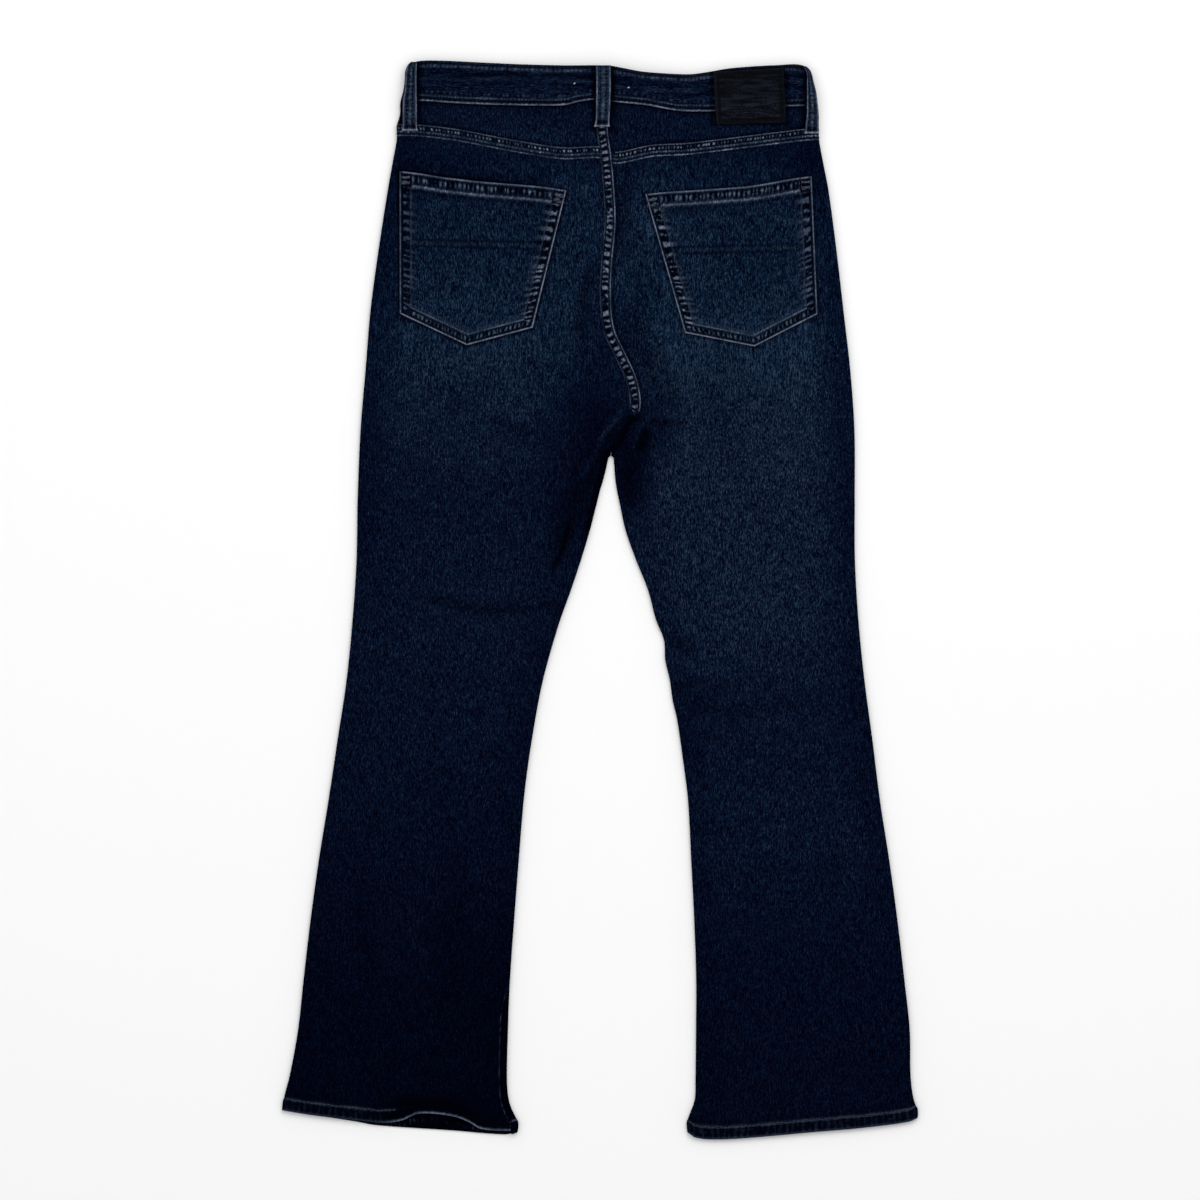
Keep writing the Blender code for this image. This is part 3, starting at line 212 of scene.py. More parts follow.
def closer(share, much=0.45):     # even shares from 0 to 1, drawn towards both ends
    return share - np.sin(2 * math.pi * share) / (2 * math.pi) * much


def through(rows, at, column=1):     # a smooth curve through a column of rows, keyed by their first
    keys, values = np.array(sorted((row[0], row[column]) for row in rows)).T
    at = np.clip(at, keys[0], keys[-1])
    low, high = np.r_[0, np.arange(len(keys) - 1)], np.r_[np.arange(1, len(keys)), len(keys) - 1]
    slopes = (values[high] - values[low]) / (keys[high] - keys[low])
    i = np.clip(np.searchsorted(keys, at), 1, len(keys) - 1)
    span = keys[i] - keys[i - 1]
    t = (at - keys[i - 1]) / span
    return ((2 * t**3 - 3 * t**2 + 1) * values[i - 1] + (t**3 - 2 * t**2 + t) * span * slopes[i - 1]
            + (3 * t**2 - 2 * t**3) * values[i] + (t**3 - t**2) * span * slopes[i])


def outerX(side, y):
    return through(outline["outer"], y, 1 if side == "left" else 2)


def gapX(side, y):
    return through(outline["inner"], y, 1 if side == "left" else 2)


def seatSeamX(y):
    return through(outline["seatSeam"], y)


def level(name, x):
    return through(outline[name], x)


creaseHeight, creaseShadeAndWear = 6, 7     # columns of the creases


def creaseSum(x, y, column):
    total = np.zeros_like(x)
    for crease in creases:
        x1, y1, x2, y2, bow, width = crease[:6]
        dx, dy = x2 - x1, y2 - y1
        length = math.hypot(dx, dy)
        share = ((x - x1) * dx + (y - y1) * dy) / length**2
        off = ((x - x1) * dy - (y - y1) * dx) / length - bow * (1 - (2 * share - 1) ** 2)
        total += crease[column] * within(share, -0.2, 0.25, 0.7, 1.2) * bell(off, width)
    return total


def folds(x, y):
    return creaseSum(x, y, creaseHeight)


# above zero painted shade along the creases, below zero wear
def foldShadeAndWear(x, y):
    return creaseSum(x, y, creaseShadeAndWear)


def archHeight(x, y):
    across = np.clip((x - arch["x"]) / arch["halfWidth"], -1, 1)
    edge = level("hemLeftBack", x)
    return arch["rise"] * np.cos(across * math.pi / 2) ** 2 * ease(y, edge + arch["length"], edge)


def topHeight(x, y):     # outer face of the back, away from its rolled sides
    height = mix(lie["legTop"], lie["seatTop"], ease(y, *lie["seatRise"]))
    height = height + lie["waistRise"] * ease(y, *lie["waistRiseAt"])
    fromCentre = abs(x - lie["centreFront"])
    height += lie["bulge"] * ease(fromCentre, *lie["bulgeAcross"]) * ease(y, *lie["bulgeAt"])
    return height + folds(x, y) + archHeight(x, y)


def turnedDown(x, y, low, top):     # from low at the outline up to top inside the rolled sides
    inward = np.where(x < lie["centreFront"], x - outerX("left", y), outerX("right", y) - x)
    turn = np.arccos(np.clip(1 - inward / lie["roll"], 0, 1))
    return mix(low, top, np.sin(turn))


def backSurface(x, y):
    return turnedDown(x, y, lie["sideSeam"], topHeight(x, y))


def sidePath(length, top):     # (distance in from the outline, height) at a length of cloth over the side
    turn = np.minimum(1, abs(length) / lie["rollArc"]) * math.pi / 2
    flat = np.maximum(0, abs(length) - lie["rollArc"])
    return lie["roll"] * (1 - np.cos(turn)) + flat, mix(lie["sideSeam"], top, np.sin(turn))


def rolledIn(length):
    return sidePath(length, 0)[0]


def overSide(side, y, length):     # where along X a length of cloth over the outer side ends
    return outerX(side, y) + inwardSign[side] * rolledIn(length)


def squareTo(distance, edge, y):     # a distance square to an edge, as one along X
    return distance * np.hypot(1, (edge(y + 0.001) - edge(y - 0.001)) / 0.002)


def overInseam(side, y):     # how far the left inseam has turned on to the top, near the hem
    return ease(y, inseamTurn["from"], inseamTurn["to"]) if side == "left" else 0.0 * y


def inseamLength(side, y):
    return overInseam(side, y) * (inseamTurn["in"] - lie["roll"] + lie["rollArc"])


# How light the denim is from place to place: its fading, with painted shade along the sides of the legs,
# round the crotch and along some folds.
fadeAndShade = {
    "down": (       # level, left leg, right leg
        (0.5400, 0.38, 0.40), (0.5000, 0.42, 0.42), (0.4650, 0.47, 0.42), (0.4400, 0.50, 0.50),
        (0.4000, 0.64, 0.76), (0.3400, 0.73, 0.88), (0.2700, 0.90, 1.04), (0.2000, 0.82, 1.02),
        (0.1500, 0.64, 0.94), (0.1000, 0.46, 0.84), (0.0000, 0.46, 0.76), (-0.0500, 0.49, 0.70),
        (-0.1000, 0.44, 0.52), (-0.1600, 0.36, 0.50), (-0.2400, 0.24, 0.50), (-0.3000, 0.13, 0.35),
        (-0.3600, 0.02, 0.24), (-0.4000, -0.05, 0.18), (-0.4800, -0.13, 0.12), (-0.5400, -0.15, 0.10),
    ),
    "spots": (      # x, y, reach along x, reach along y, how much lighter: faded patches, and painted shade round the crotch and along some folds
        (0.0000, 0.1750, 0.0400, 0.0450, -0.75), (-0.0300, 0.1100, 0.0300, 0.0500, -0.40),
        (0.0320, 0.1280, 0.0180, 0.0480, -0.85), (-0.1500, 0.1700, 0.0450, 0.0500, 0.03),
        (0.0750, 0.2100, 0.0250, 0.0450, 0.10), (0.1900, 0.2500, 0.0400, 0.0300, 0.15),
        (-0.1400, 0.2550, 0.0500, 0.0150, 0.12), (0.0550, 0.3700, 0.0200, 0.0500, 0.22),
        (-0.0250, 0.3800, 0.0200, 0.0600, 0.18), (0.1500, -0.0100, 0.0600, 0.0500, 0.10),
        (-0.1300, 0.0500, 0.0500, 0.0300, 0.08), (0.0750, -0.1300, 0.0350, 0.0300, -0.15),
        (-0.1500, -0.3200, 0.0200, 0.1200, -0.16), (-0.2350, -0.3200, 0.0120, 0.0500, -0.10),
        (-0.1400, -0.5050, 0.0350, 0.0120, -0.20), (-0.0950, -0.4000, 0.0150, 0.1000, -0.12),
        (-0.2050, 0.4300, 0.0250, 0.0400, -0.25), (0.2150, 0.4300, 0.0200, 0.0400, -0.30),
        (-0.1500, 0.4400, 0.0450, 0.0120, -0.18), (0.1850, 0.4400, 0.0350, 0.0140, -0.20),
        (0.0600, 0.1780, 0.0200, 0.0350, -0.58), (0.1480, 0.3300, 0.0500, 0.0500, -0.22),
        (-0.1400, 0.2050, 0.0350, 0.0250, -0.18), (-0.0800, 0.1700, 0.0250, 0.0180, -0.20),
        (0.2300, 0.2600, 0.0200, 0.1000, -0.25), (0.0150, 0.2450, 0.0300, 0.0380, -0.45),
        (0.0420, 0.3100, 0.0180, 0.0450, -0.30), (0.1200, 0.1900, 0.0250, 0.0500, -0.25),
        (-0.0750, 0.4620, 0.0400, 0.0120, 0.22), (0.1350, 0.4720, 0.0300, 0.0120, 0.10),
        (0.0005, 0.2750, 0.0200, 0.0300, -0.22), (-0.0300, 0.2150, 0.0300, 0.0300, -0.22),
    ),
    "sides": (      # level, how much painted shade darkens the left leg's outer and inner sides, then the right's
        (0.5000, 0.35, 0.00, 0.20, 0.00), (0.3000, 0.55, 0.00, 0.42, 0.00),
        (0.1000, 0.55, 0.00, 0.65, 0.15), (0.0000, 0.22, 0.45, 0.52, 0.25),
        (-0.2500, 0.10, 0.30, 0.42, 0.35), (-0.5000, 0.25, 0.30, 0.25, 0.30),
    ),
    "sideReach": 0.0450,
    "wornCrease": 0.45,     # how much lighter a fully worn crease is
}


def toneAt(x, y):
    right = ease(x, lie["centreFront"] - 0.02, lie["centreFront"] + 0.03)
    tone = mix(through(fadeAndShade["down"], y, 1), through(fadeAndShade["down"], y, 2), right)
    for spotX, spotY, reachX, reachY, lighter in fadeAndShade["spots"]:
        tone += lighter * blot(x, y, (spotX, spotY), (reachX, reachY))
    # painted shade towards the outer and inner sides of each leg
    for i, side in enumerate(inwardSign):
        fromOuter = (x - outerX(side, y)) * inwardSign[side]
        fromInner = (gapX(side, y) - x) * inwardSign[side]
        for off, column in ((fromOuter, 1 + 2 * i), (fromInner, 2 + 2 * i)):
            darker = through(fadeAndShade["sides"], y, column) * ease(off, fadeAndShade["sideReach"], 0)
            tone -= darker * (fromInner > -0.01) * np.clip(tone, 0.2, 1)
    return tone + fadeAndShade["wornCrease"] * np.clip(-foldShadeAndWear(x, y), 0, 1)


def ribs(along, seed, period):     # uneven puckers along a seam: -1 in a trough, 1 on a crest
    random = np.random.default_rng(seed)
    count = 2 * round(2.3 / period)
    knots = np.cumsum(period * random.uniform(0.25, 0.75, count)) - 0.8
    heights = random.uniform(0.3, 1.0, count) * np.where(np.arange(count) % 2 == 0, -1, 1)
    i = np.clip(np.searchsorted(knots, along), 1, count - 1)
    return mix(heights[i - 1], heights[i], ease(along, knots[i - 1], knots[i]))


def speckle(x, y, size, seed):     # soft random blotches, from -1 to 1
    table = np.random.default_rng(seed).uniform(-1, 1, 4096)
    column, row = np.floor(x / size).astype(int), np.floor(y / size).astype(int)
    u, v = ease(x / size - column, 0, 1), ease(y / size - row, 0, 1)
    corner = [[table[((column + i) * 73 + (row + j) * 1179) & 4095] for i in (0, 1)] for j in (0, 1)]
    return mix(mix(*corner[0], u), mix(*corner[1], u), v)


def strokes(along, q, width, seed, period):     # puckers broken into short strokes across a band, -1 to 1
    bent = along + q * 0.08 * np.sin(along * 29 + seed) + 0.0005 * speckle(along, q, 0.0030, seed)
    first, second = ribs(bent, seed, period), ribs(bent, seed + 30, period * 0.85)
    halves = 0.4 * ease(q + 0.0012 * speckle(along, q, 0.006, seed + 1), width * 0.35, width * 0.65)
    both = mix(first, second, halves) + 0.30 * speckle(along, q, 0.0017, seed + 2)
    return np.clip(2.4 * both, -1, 1)


def patchy(along, seed, least=0.45):     # slow changes of strength along a seam, from least to 1
    return least + (1 - least) * (0.5 + 0.5 * ribs(along, seed + 50, 0.035))


class Wire:     # a socket that takes Python arithmetic
    def __init__(self, finish, socket):
        self.finish = finish
        self.socket = socket

    def maths(self, operation, first, second):
        return self.finish.node("ShaderNodeMath", {"operation": operation}, {0: first, 1: second})

    def __add__(self, other):
        return self.maths("ADD", self, other)

    def __radd__(self, other):
        return self.maths("ADD", other, self)

    def __sub__(self, other):
        return self.maths("SUBTRACT", self, other)

    def __rsub__(self, other):
        return self.maths("SUBTRACT", other, self)

    def __mul__(self, other):
        return self.maths("MULTIPLY", self, other)

    def __rmul__(self, other):
        return self.maths("MULTIPLY", other, self)


class Finish:     # a material and the few ways in which its nodes are added
    def __init__(self, name, roughness, specular, sheen=0.0):
        self.material = bpy.data.materials.new(name)
        self.material.use_nodes = True
        self.tree = self.material.node_tree
        self.shader = self.tree.nodes["Principled BSDF"]
        self.shader.inputs["Roughness"].default_value = roughness
        self.shader.inputs["Specular IOR Level"].default_value = specular
        self.shader.inputs["Sheen Weight"].default_value = sheen
        self.place = self.node("ShaderNodeTexCoord", output="Object")

    def node(self, kind, settings=None, inputs=None, output=0):
        made = self.tree.nodes.new(kind)
        for name, value in (settings or {}).items():
            if name == "stops":
                for i, (position, colour) in enumerate(value):
                    ramp = made.color_ramp.elements
                    stop = ramp[i] if i < 2 else ramp.new(position)     # a new ramp has two
                    stop.position, stop.color = position, (*colour, 1)
            else:
                setattr(made, name, value)
        for key, value in (inputs or {}).items():
            self.feed(made.inputs[key], value)
        return Wire(self, made.outputs[output])

    def feed(self, socket, value):
        if isinstance(value, Wire):
            self.tree.links.new(value.socket, socket)
        else:
            socket.default_value = value

    def noise(self, stretch, detail=2.0, roughness=0.5, turn=0.0):     # stretch: features per metre
        placed = self.node("ShaderNodeMapping", {}, {"Vector": self.place, "Rotation": (0, 0, turn)})
        scaled = self.node("ShaderNodeVectorMath", {"operation": "MULTIPLY"}, {0: placed, 1: stretch})
        return self.node("ShaderNodeTexNoise", {}, {"Vector": scaled, "Scale": 1.0, "Detail": detail,
                                                    "Roughness": roughness})

    def blend(self, factor, first, second, mode="MIX"):
        made = self.tree.nodes.new("ShaderNodeMix")
        made.data_type, made.blend_type = "RGBA", mode
        for index, value in ((0, factor), (6, first), (7, second)):
            if isinstance(value, tuple):
                value = (*value, 1)
            self.feed(made.inputs[index], value)
        return Wire(self, made.outputs[2])

    def paint(self, name):     # red, green and blue of a piece's own colour attribute
        colour = self.node("ShaderNodeAttribute", {"attribute_name": name}, output="Color")
        parts = self.tree.nodes.new("ShaderNodeSeparateColor")
        self.tree.links.new(colour.socket, parts.inputs[0])
        return [Wire(self, socket) for socket in parts.outputs]

    def bump(self, height, distance, strength=1.0):
        self.feed(self.shader.inputs["Normal"],
                  self.node("ShaderNodeBump", {}, {"Height": height, "Distance": distance,
                                                   "Strength": strength}))


denim = {
    "toneSpan": (-0.2, 2.2),
    "dyeStops": (       # from deepest to most faded, over that span
        (0.000, (0.00018, 0.00038, 0.0036)), (0.083, (0.00042, 0.00108, 0.0070)),
        (0.500, (0.00285, 0.00825, 0.0245)), (0.667, (0.0060, 0.0152, 0.0358)),
        (1.000, (0.0230, 0.0402, 0.0695)),
    ),
    "wornStops": (      # a rubbed crest is grey-blue, a worn-through edge pale
        (0.00, (0.020, 0.036, 0.066)), (0.45, (0.068, 0.092, 0.135)), (1.00, (0.200, 0.212, 0.295)),
    ),
    "tints": ((1.14, 0.97, 0.99), (0.94, 1.03, 1.02)),
    "seatTint": (0.83, 1.00, 1.02),
    "seatLevels": (0.16, 0.27, 0.44, 0.47),     # that tint comes in and goes out between these
    "warp": (1250, 330, 700),       # fine streaks along the legs, in features a metre
    "slub": (950, 120, 400),
    "mottle": (75, 60, 60),
    "hue": (200, 170, 170),
    "streak": (38, 420, 200),
    "twillTurn": math.radians(62),
    "twill": (1150, 240, 500),
    "grain": (5.3, 2.6, 0.5, 0.4),  # strength of the warp, the slubs, the twill and the mottling
    "grainMost": 0.59,
    "shade": (0.0001, 0.0002, 0.0022),
}


def pocketShadow(made, side):     # painted shadow on the cloth close around a pocket
    outerTop, innerTop, innerLow, point, outerLow = (np.array(corner) for corner in pocket[side])
    dip = (outerTop + innerTop) / 2 - (0, pocket["dip"][side])
    centre = (outerTop + innerTop + innerLow + outerLow) / 4
    ends = (outerTop, dip, innerTop, innerLow, point, outerLow, outerTop)
    outside = []
    for start, end in zip(ends, ends[1:]):
        out = np.array((end[1] - start[1], start[0] - end[0])) / np.hypot(*(end - start))
        out *= np.sign(np.dot(start - centre, out))
        along = made.node("ShaderNodeVectorMath", {"operation": "DOT_PRODUCT"},
                          {0: made.place, 1: (*out, 0)}, output="Value")
        outside.append(along - float(out @ start))
    far = made.place.maths("MINIMUM", *outside[:2])     # the top edge bends inwards
    for other in outside[2:]:
        far = made.place.maths("MAXIMUM", far, other)
    start, full = pocket["ring"]
    return made.node("ShaderNodeMapRange", {"interpolation_type": "SMOOTHSTEP"},
                     {0: far, 1: start, 2: full, 3: 0.0, 4: pocket["ringShadow"][side]})


def denimFinish(name, acrossWarp=False, streaks=0.0, beside=None):
    made = Finish(name, roughness=0.92, specular=0.009)
    # dark, the green paint, is mostly painted shade: in creases, grooves and pucker hollows and beside
    # raised parts
    wear, dark, tone = made.paint("paint")
    warpSize, slubSize = denim["warp"], denim["slub"]
    if acrossWarp:
        warpSize, slubSize = ((y, x, z) for x, y, z in (warpSize, slubSize))
    warp = made.noise(warpSize, 2, 0.65)
    slub = made.noise(slubSize, 2)
    mottle = made.noise(denim["mottle"], 3, 0.6)
    twill = made.noise(denim["twill"], 1, 0.5, denim["twillTurn"])
    byWarp, bySlub, byTwill, byMottle = denim["grain"]
    grain = (warp - 0.5) * byWarp + (slub - 0.5) * bySlub
    grain = grain + (twill - 0.5) * byTwill + (mottle - 0.5) * byMottle
    if streaks:     # long faded streaks along a doubled band
        grain = grain + (made.noise(denim["streak"], 3, 0.6) - 0.5) * streaks
    gain = made.place.maths("MINIMUM", tone * 0.75 + 0.25, denim["grainMost"])
    dyed = made.node("ShaderNodeValToRGB", {"stops": denim["dyeStops"]}, {0: tone + grain * gain})
    hue = made.node("ShaderNodeMapRange", {}, {0: made.noise(denim["hue"], 3), 1: 0.36, 2: 0.64})
    dyed = made.blend(1.0, dyed, made.blend(hue, *denim["tints"]), "MULTIPLY")
    upLeg = made.node("ShaderNodeSeparateXYZ", {}, {0: made.place}, output="Y")
    low, lowFull, highFull, high = denim["seatLevels"]
    onSeat = made.node("ShaderNodeMapRange", {}, {0: upLeg, 1: low, 2: lowFull})
    onSeat = onSeat * made.node("ShaderNodeMapRange", {}, {0: upLeg, 1: high, 2: highFull})
    dyed = made.blend(onSeat, dyed, made.blend(1.0, dyed, denim["seatTint"], "MULTIPLY"))
    rub = made.node("ShaderNodeClamp", {}, {0: wear * (1.0 + grain * 0.30)})
    rubbed = made.node("ShaderNodeValToRGB", {"stops": denim["wornStops"]}, {0: rub})
    worn = made.blend(made.node("ShaderNodeMapRange", {}, {0: rub, 2: 0.7}), dyed, rubbed)
    # the back panels also get a painted shadow round their pocket
    if beside:
        dark = dark + pocketShadow(made, beside)
    shade = made.node("ShaderNodeClamp", {}, {0: dark * (1.0 - grain * 0.10)})
    made.feed(made.shader.inputs["Base Color"], made.blend(shade, worn, denim["shade"]))
    made.bump(warp * 0.6 + twill * 0.7 + slub * 0.5, 0.00022, 0.85)
    return made.material


def threadFinish(name, colour):
    made = Finish(name, roughness=0.6, specular=0.05)
    twist = made.noise((1500, 1500, 1500), 2)
    deep, pale = (tuple(share * part for part in colour) for share in (0.6, 1.3))
    made.feed(made.shader.inputs["Base Color"], made.blend(twist, deep, pale))
    made.bump(twist, 0.0001, 0.5)
    return made.material


def leatherFinish():
    made = Finish("patchLeather", roughness=0.6, specular=0.03)
    wear, dark, tone = made.paint("paint")
    grain = made.node("ShaderNodeTexVoronoi", {}, {"Vector": made.place, "Scale": 950.0})
    streak = made.noise((45, 330, 100), 4, 0.6)
    fine = made.noise((420, 900, 400), 3, 0.65)
    uneven = 1.0 + (streak - 0.5) * 11.0 + (fine - 0.5) * 9.0
    light = made.node("ShaderNodeClamp", {}, {0: tone * uneven})
    colour = made.blend(light, (0.0002, 0.0004, 0.0013), (0.0096, 0.0134, 0.0240))
    colour = made.blend(wear, colour, (0.050, 0.051, 0.065))
    made.feed(made.shader.inputs["Base Color"], made.blend(dark * 0.9, colour, (0.0004, 0.0005, 0.0008)))
    made.feed(made.shader.inputs["Roughness"], 0.50 + fine * 0.22)
    made.bump(grain * 0.35 + fine * 0.8 + streak * 0.9, 0.0003, 0.8)
    return made.material


def metalFinish():
    made = Finish("agedMetal", roughness=0.4, specular=0.5)
    made.shader.inputs["Metallic"].default_value = 1.0
    patina = made.noise((420, 420, 420), 4, 0.6)
    colour = made.blend(patina, (0.09, 0.075, 0.06), (0.32, 0.27, 0.22))
    made.feed(made.shader.inputs["Base Color"], colour)
    made.feed(made.shader.inputs["Roughness"], 0.28 + patina * 0.35)
    made.bump(patina, 0.0001, 0.4)
    return made.material


legDenim = denimFinish("legDenim")
bandDenim = denimFinish("bandDenim", acrossWarp=True, streaks=2.2)
loopDenim = denimFinish("loopDenim")
darkThread = threadFinish("darkThread", (0.0022, 0.0034, 0.0085))
mauveThread = threadFinish("mauveThread", (0.120, 0.124, 0.172))
greyThread = threadFinish("greyThread", (0.080, 0.092, 0.115))
blueThread = threadFinish("blueThread", (0.030, 0.039, 0.066))
whiteThread = threadFinish("whiteThread", (0.55, 0.56, 0.60))
print("finishes made")


def makeCloth(name, node, place, columns, rows, finish, thickness, outwards=True, slot="indigo_denim"):
    # A grid whose points and paint place(column, row) gives. Row 0 is nearest the waist.
    bm = bmesh.new()
    bmesh.ops.create_grid(bm, x_segments=columns, y_segments=rows, size=0.5)
    mesh = bpy.data.meshes.new(name)
    bm.to_mesh(mesh)
    bm.free()
    flat = np.empty(len(mesh.vertices) * 3)
    mesh.vertices.foreach_get("co", flat)
    flat = flat.reshape(-1, 3)
    column = np.rint((flat[:, 0] + 0.5) * columns).astype(int)
    row = np.rint((0.5 - flat[:, 1]) * rows).astype(int)
    x, y, z, wear, dark, tone = place(column, row)
    mesh.vertices.foreach_set("co", np.column_stack([x, y, z]).ravel())
    low, high = denim["toneSpan"]
    colour = np.column_stack([np.clip(wear, 0, 1) + 0 * x, np.clip(dark, 0, 1) + 0 * x,
                              (tone - low) / (high - low) + 0 * x, np.ones_like(x)])
    mesh.color_attributes.new("paint", "FLOAT_COLOR", "POINT").data.foreach_set("color", colour.ravel())
    mesh.polygons.foreach_set("use_smooth", [True] * len(mesh.polygons))
    mesh.materials.append(finish)
    piece = bpy.data.objects.new(name, mesh)
    scene.collection.objects.link(piece)
    if thickness:
        solidify = piece.modifiers.new("cloth", "SOLIDIFY")
        solidify.thickness = thickness
        solidify.offset = -1.0 if outwards else 1.0
    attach(piece, "root")
    if node:
        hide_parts(node)
    return piece


atOuter, inMiddle, atInner = 0, 1, 2     # the three kinds of place across a piece


def steps(side, outer, between, inner):     # places across a piece, from its left to its right
    kinds = [atOuter] * len(outer) + [inMiddle] * between + [atInner] * len(inner)
    values = list(outer) + [(i + 1) / (between + 1) for i in range(between)] + list(inner)[::-1]
    return np.array(kinds)[::inwardSign[side]], np.array(values)[::inwardSign[side]]


def spaced(start, end, pitch):
    count = max(1, round(abs(end - start) / pitch))
    return np.linspace(start, end, count + 1)


def choose(kind, outer, middle, inner):
    return np.where(kind == atOuter, outer, np.where(kind == inMiddle, middle, inner))


def settle(x, kind, value, share, edgesAt, outerAt, innerAt):
    # Points at a share of the way between two curves and, as steps gives them, between two sides.
    for _ in range(4):     # x and y each depend on the other
        high, low = edgesAt(x)
        y = mix(high, low, share)
        outer, inner = outerAt(y), innerAt(y)
        x = choose(kind, outer, mix(outer, inner, value), inner)
    return x, y, high, low


scene = bpy.context.scene
backLeg = {
    "near": (0, 0.0005, 0.0010, 0.0016, 0.0023, 0.0032, 0.0044, 0.0060, 0.0080, 0.0105, 0.0130),
    "between": 84,
    "topLevel": 0.4500,
    "hemLevel": -0.5200,
    # its rows: from this level, to this level, this far apart
    "pitch": ((0.4530, 0.2050, 0.0030), (0.2050, 0.0850, 0.0017), (0.0850, -0.4965, 0.0042),
              (-0.4965, -0.5090, 0.0018)),
    "topSlant": 0.1200,
    "hemSlant": 0.1000,
    "sink": 0.0003,     # how far along the cloth its sides lie from the front's
}



def backEdgeX(side, y):     # inner edge of a back panel: the seat seam, then the gap between the legs
    half = 0.0002 if side == "right" else -0.0002
    meeting = gapX(side, lie["crotch"])
    seam = seatSeamX(lie["crotch"]) + half
    below = gapX(side, y) + (seam - meeting) * ease(y, lie["crotch"] - 0.0014, lie["crotch"])
    return np.where(y >= lie["crotch"], seatSeamX(y) + half, below)


def frontEdgeX(side, y):
    half = 1 if side == "right" else -1
    middle = (gapX("left", lie["crotch"]) + gapX("right", lie["crotch"])) / 2
    straight = mix(middle, lie["centreFront"], np.clip((y - lie["crotch"]) / 0.30, 0, 1))
    straight = straight + half * mix(0.0004, 0.0002, ease(y, lie["crotch"], lie["crotch"] + 0.02))
    return np.where(y >= lie["crotch"], straight, gapX(side, y))


def backAcross(side, kind, value, levelOf):     # points of a back panel's outer face
    sign = inwardSign[side]
    last = backLeg["near"][-1]
    x = np.full(len(kind), sign * -0.12)
    for _ in range(4):
        y = levelOf(x)
        rolled = ease(y, lie["seamEnd"], lie["seamEnd"] - lie["tuck"])
        over = inseamLength(side, y) + inseamTurn["gap"] * overInseam(side, y)

        def fromOuter(length):
            return outerX(side, y) + sign * squareTo(rolledIn(length), lambda at: outerX(side, at), y)

        def fromInner(length):
            inward = mix(length, rolledIn(length + over), rolled)
            return backEdgeX(side, y) - sign * squareTo(inward, lambda at: backEdgeX(side, at), y)

        middle = mix(fromOuter(last), fromInner(last), 1 - (1 - value) ** 1.15)
        x = choose(kind, fromOuter(value), middle, fromInner(value))
    top = topHeight(x, y)
    z = np.where(kind == atOuter, sidePath(value + backLeg["sink"], top)[1], top)
    turned = mix(top, sidePath(value + over + backLeg["sink"], top)[1], rolled)
    return x, y, np.where(kind == atInner, turned, z)


def slantedLevel(at, x, topCurve, hemCurve, leg):     # a leg's level rows slant towards both ends
    top, low = leg["topLevel"], leg["hemLevel"]
    atTop, atHem = ease(at, top - leg["topSlant"], top), ease(at, low + leg["hemSlant"], low)
    return at + atTop * (level(topCurve, x) - top) + atHem * (level(hemCurve, x) - low)


def hemOf(side, layer):     # the name of a hem's curve
    return "hemRight" if side == "right" else {"back": "hemLeftBack", "front": "hemLeftFront"}[layer]


def makeBackLeg(side):
    kind, value = steps(side, backLeg["near"], backLeg["between"], backLeg["near"])
    parting = (lie["crotch"] - 0.0004, lie["crotch"] + 0.0004)
    levels = np.unique(np.concatenate([spaced(*part) for part in backLeg["pitch"]] + [parting]))[::-1]
    hemCurve = hemOf(side, "back")

    def place(column, row):
        x, y, z = backAcross(side, kind[column], value[column],
                             lambda x: slantedLevel(levels[row], x, "yoke", hemCurve, backLeg))
        fold = foldShadeAndWear(x, y)
        fromHem, fromYoke, fromSeam = y - level(hemCurve, x), level("yoke", x) - y, x - seatSeamX(y)
        onSeat = y > lie["seamEnd"]
        wear = np.clip(-fold, 0, 1) * 0.07
        # painted shade in the creases, beside the seat seam, above the hem and below the yoke seam
        dark = np.clip(fold, 0, 1) + 0.50 * bell(fromSeam - 0.0022, 0.0020) * onSeat
        dark += 0.30 * bell(fromSeam + 0.0125, 0.0022) * onSeat
        dark += 0.95 * blot(x, y, (0.035, 0.1812), (0.010, 0.0040))     # painted shadow where the seat seam runs under
        dark += 0.35 * ease(fromHem, 0.0260, 0.0145) * (0.85 - 0.15 * ribs(x, 8, 0.0040))
        dark += 0.35 * bell(fromYoke - 0.0010, 0.0018)
        hemRow = bell(fromHem - 0.0124, 0.0014) * patchy(x, 27, 0.25)
        if side == "left":
            inseam = (kind[column] == atInner) * bell(value[column] - 0.0009, 0.0006)
            inseam = inseam * overInseam(side, y) * ease(ribs(y, 9, 0.0062), -0.8, 0.8)
            wear += 0.50 * inseam * patchy(y, 10, 0.15)
            wear += hemRow * 0.40 * ease(x, -0.2000, -0.2150)
            fromGap = gapX("left", y) - x       # painted shade where the inner thigh turns under, beside the gap
            dark += 0.92 * ease(fromGap, 0.0095, 0.0030) * within(y, 0.030, 0.080, 0.1440, 0.1560)
        else:
            wear += hemRow * 0.52
        return x, y, z, wear, dark, toneAt(x, y)

    return makeCloth(f"backLeg_{side}", f"back_leg_{side}", place, len(kind) - 1, len(levels) - 1,
                     denimFinish(f"backDenim_{side}", beside=side), lie["cloth"])


frontLeg = {
    "near": (0, 0.0006, 0.0013, 0.0022, 0.0032, 0.0044, 0.0070, 0.0120),
    "between": 50,
    "topLevel": 0.4950,
    "hemLevel": -0.5250,
    "pitch": 0.0060,
    "hemSlant": 0.1000,
    "topSlant": 0.1200,
    "scoopWidth": 0.1050,
    "scoopDepth": 0.0720,
    "scoopReach": 0.2000,
    "loopLift": 0.0021,     # room for the belt loops and the button under the band
    "buttonLift": 0.0026,
    "sink": 0.0009,         # its sides lie this much cloth further round than the back's
}


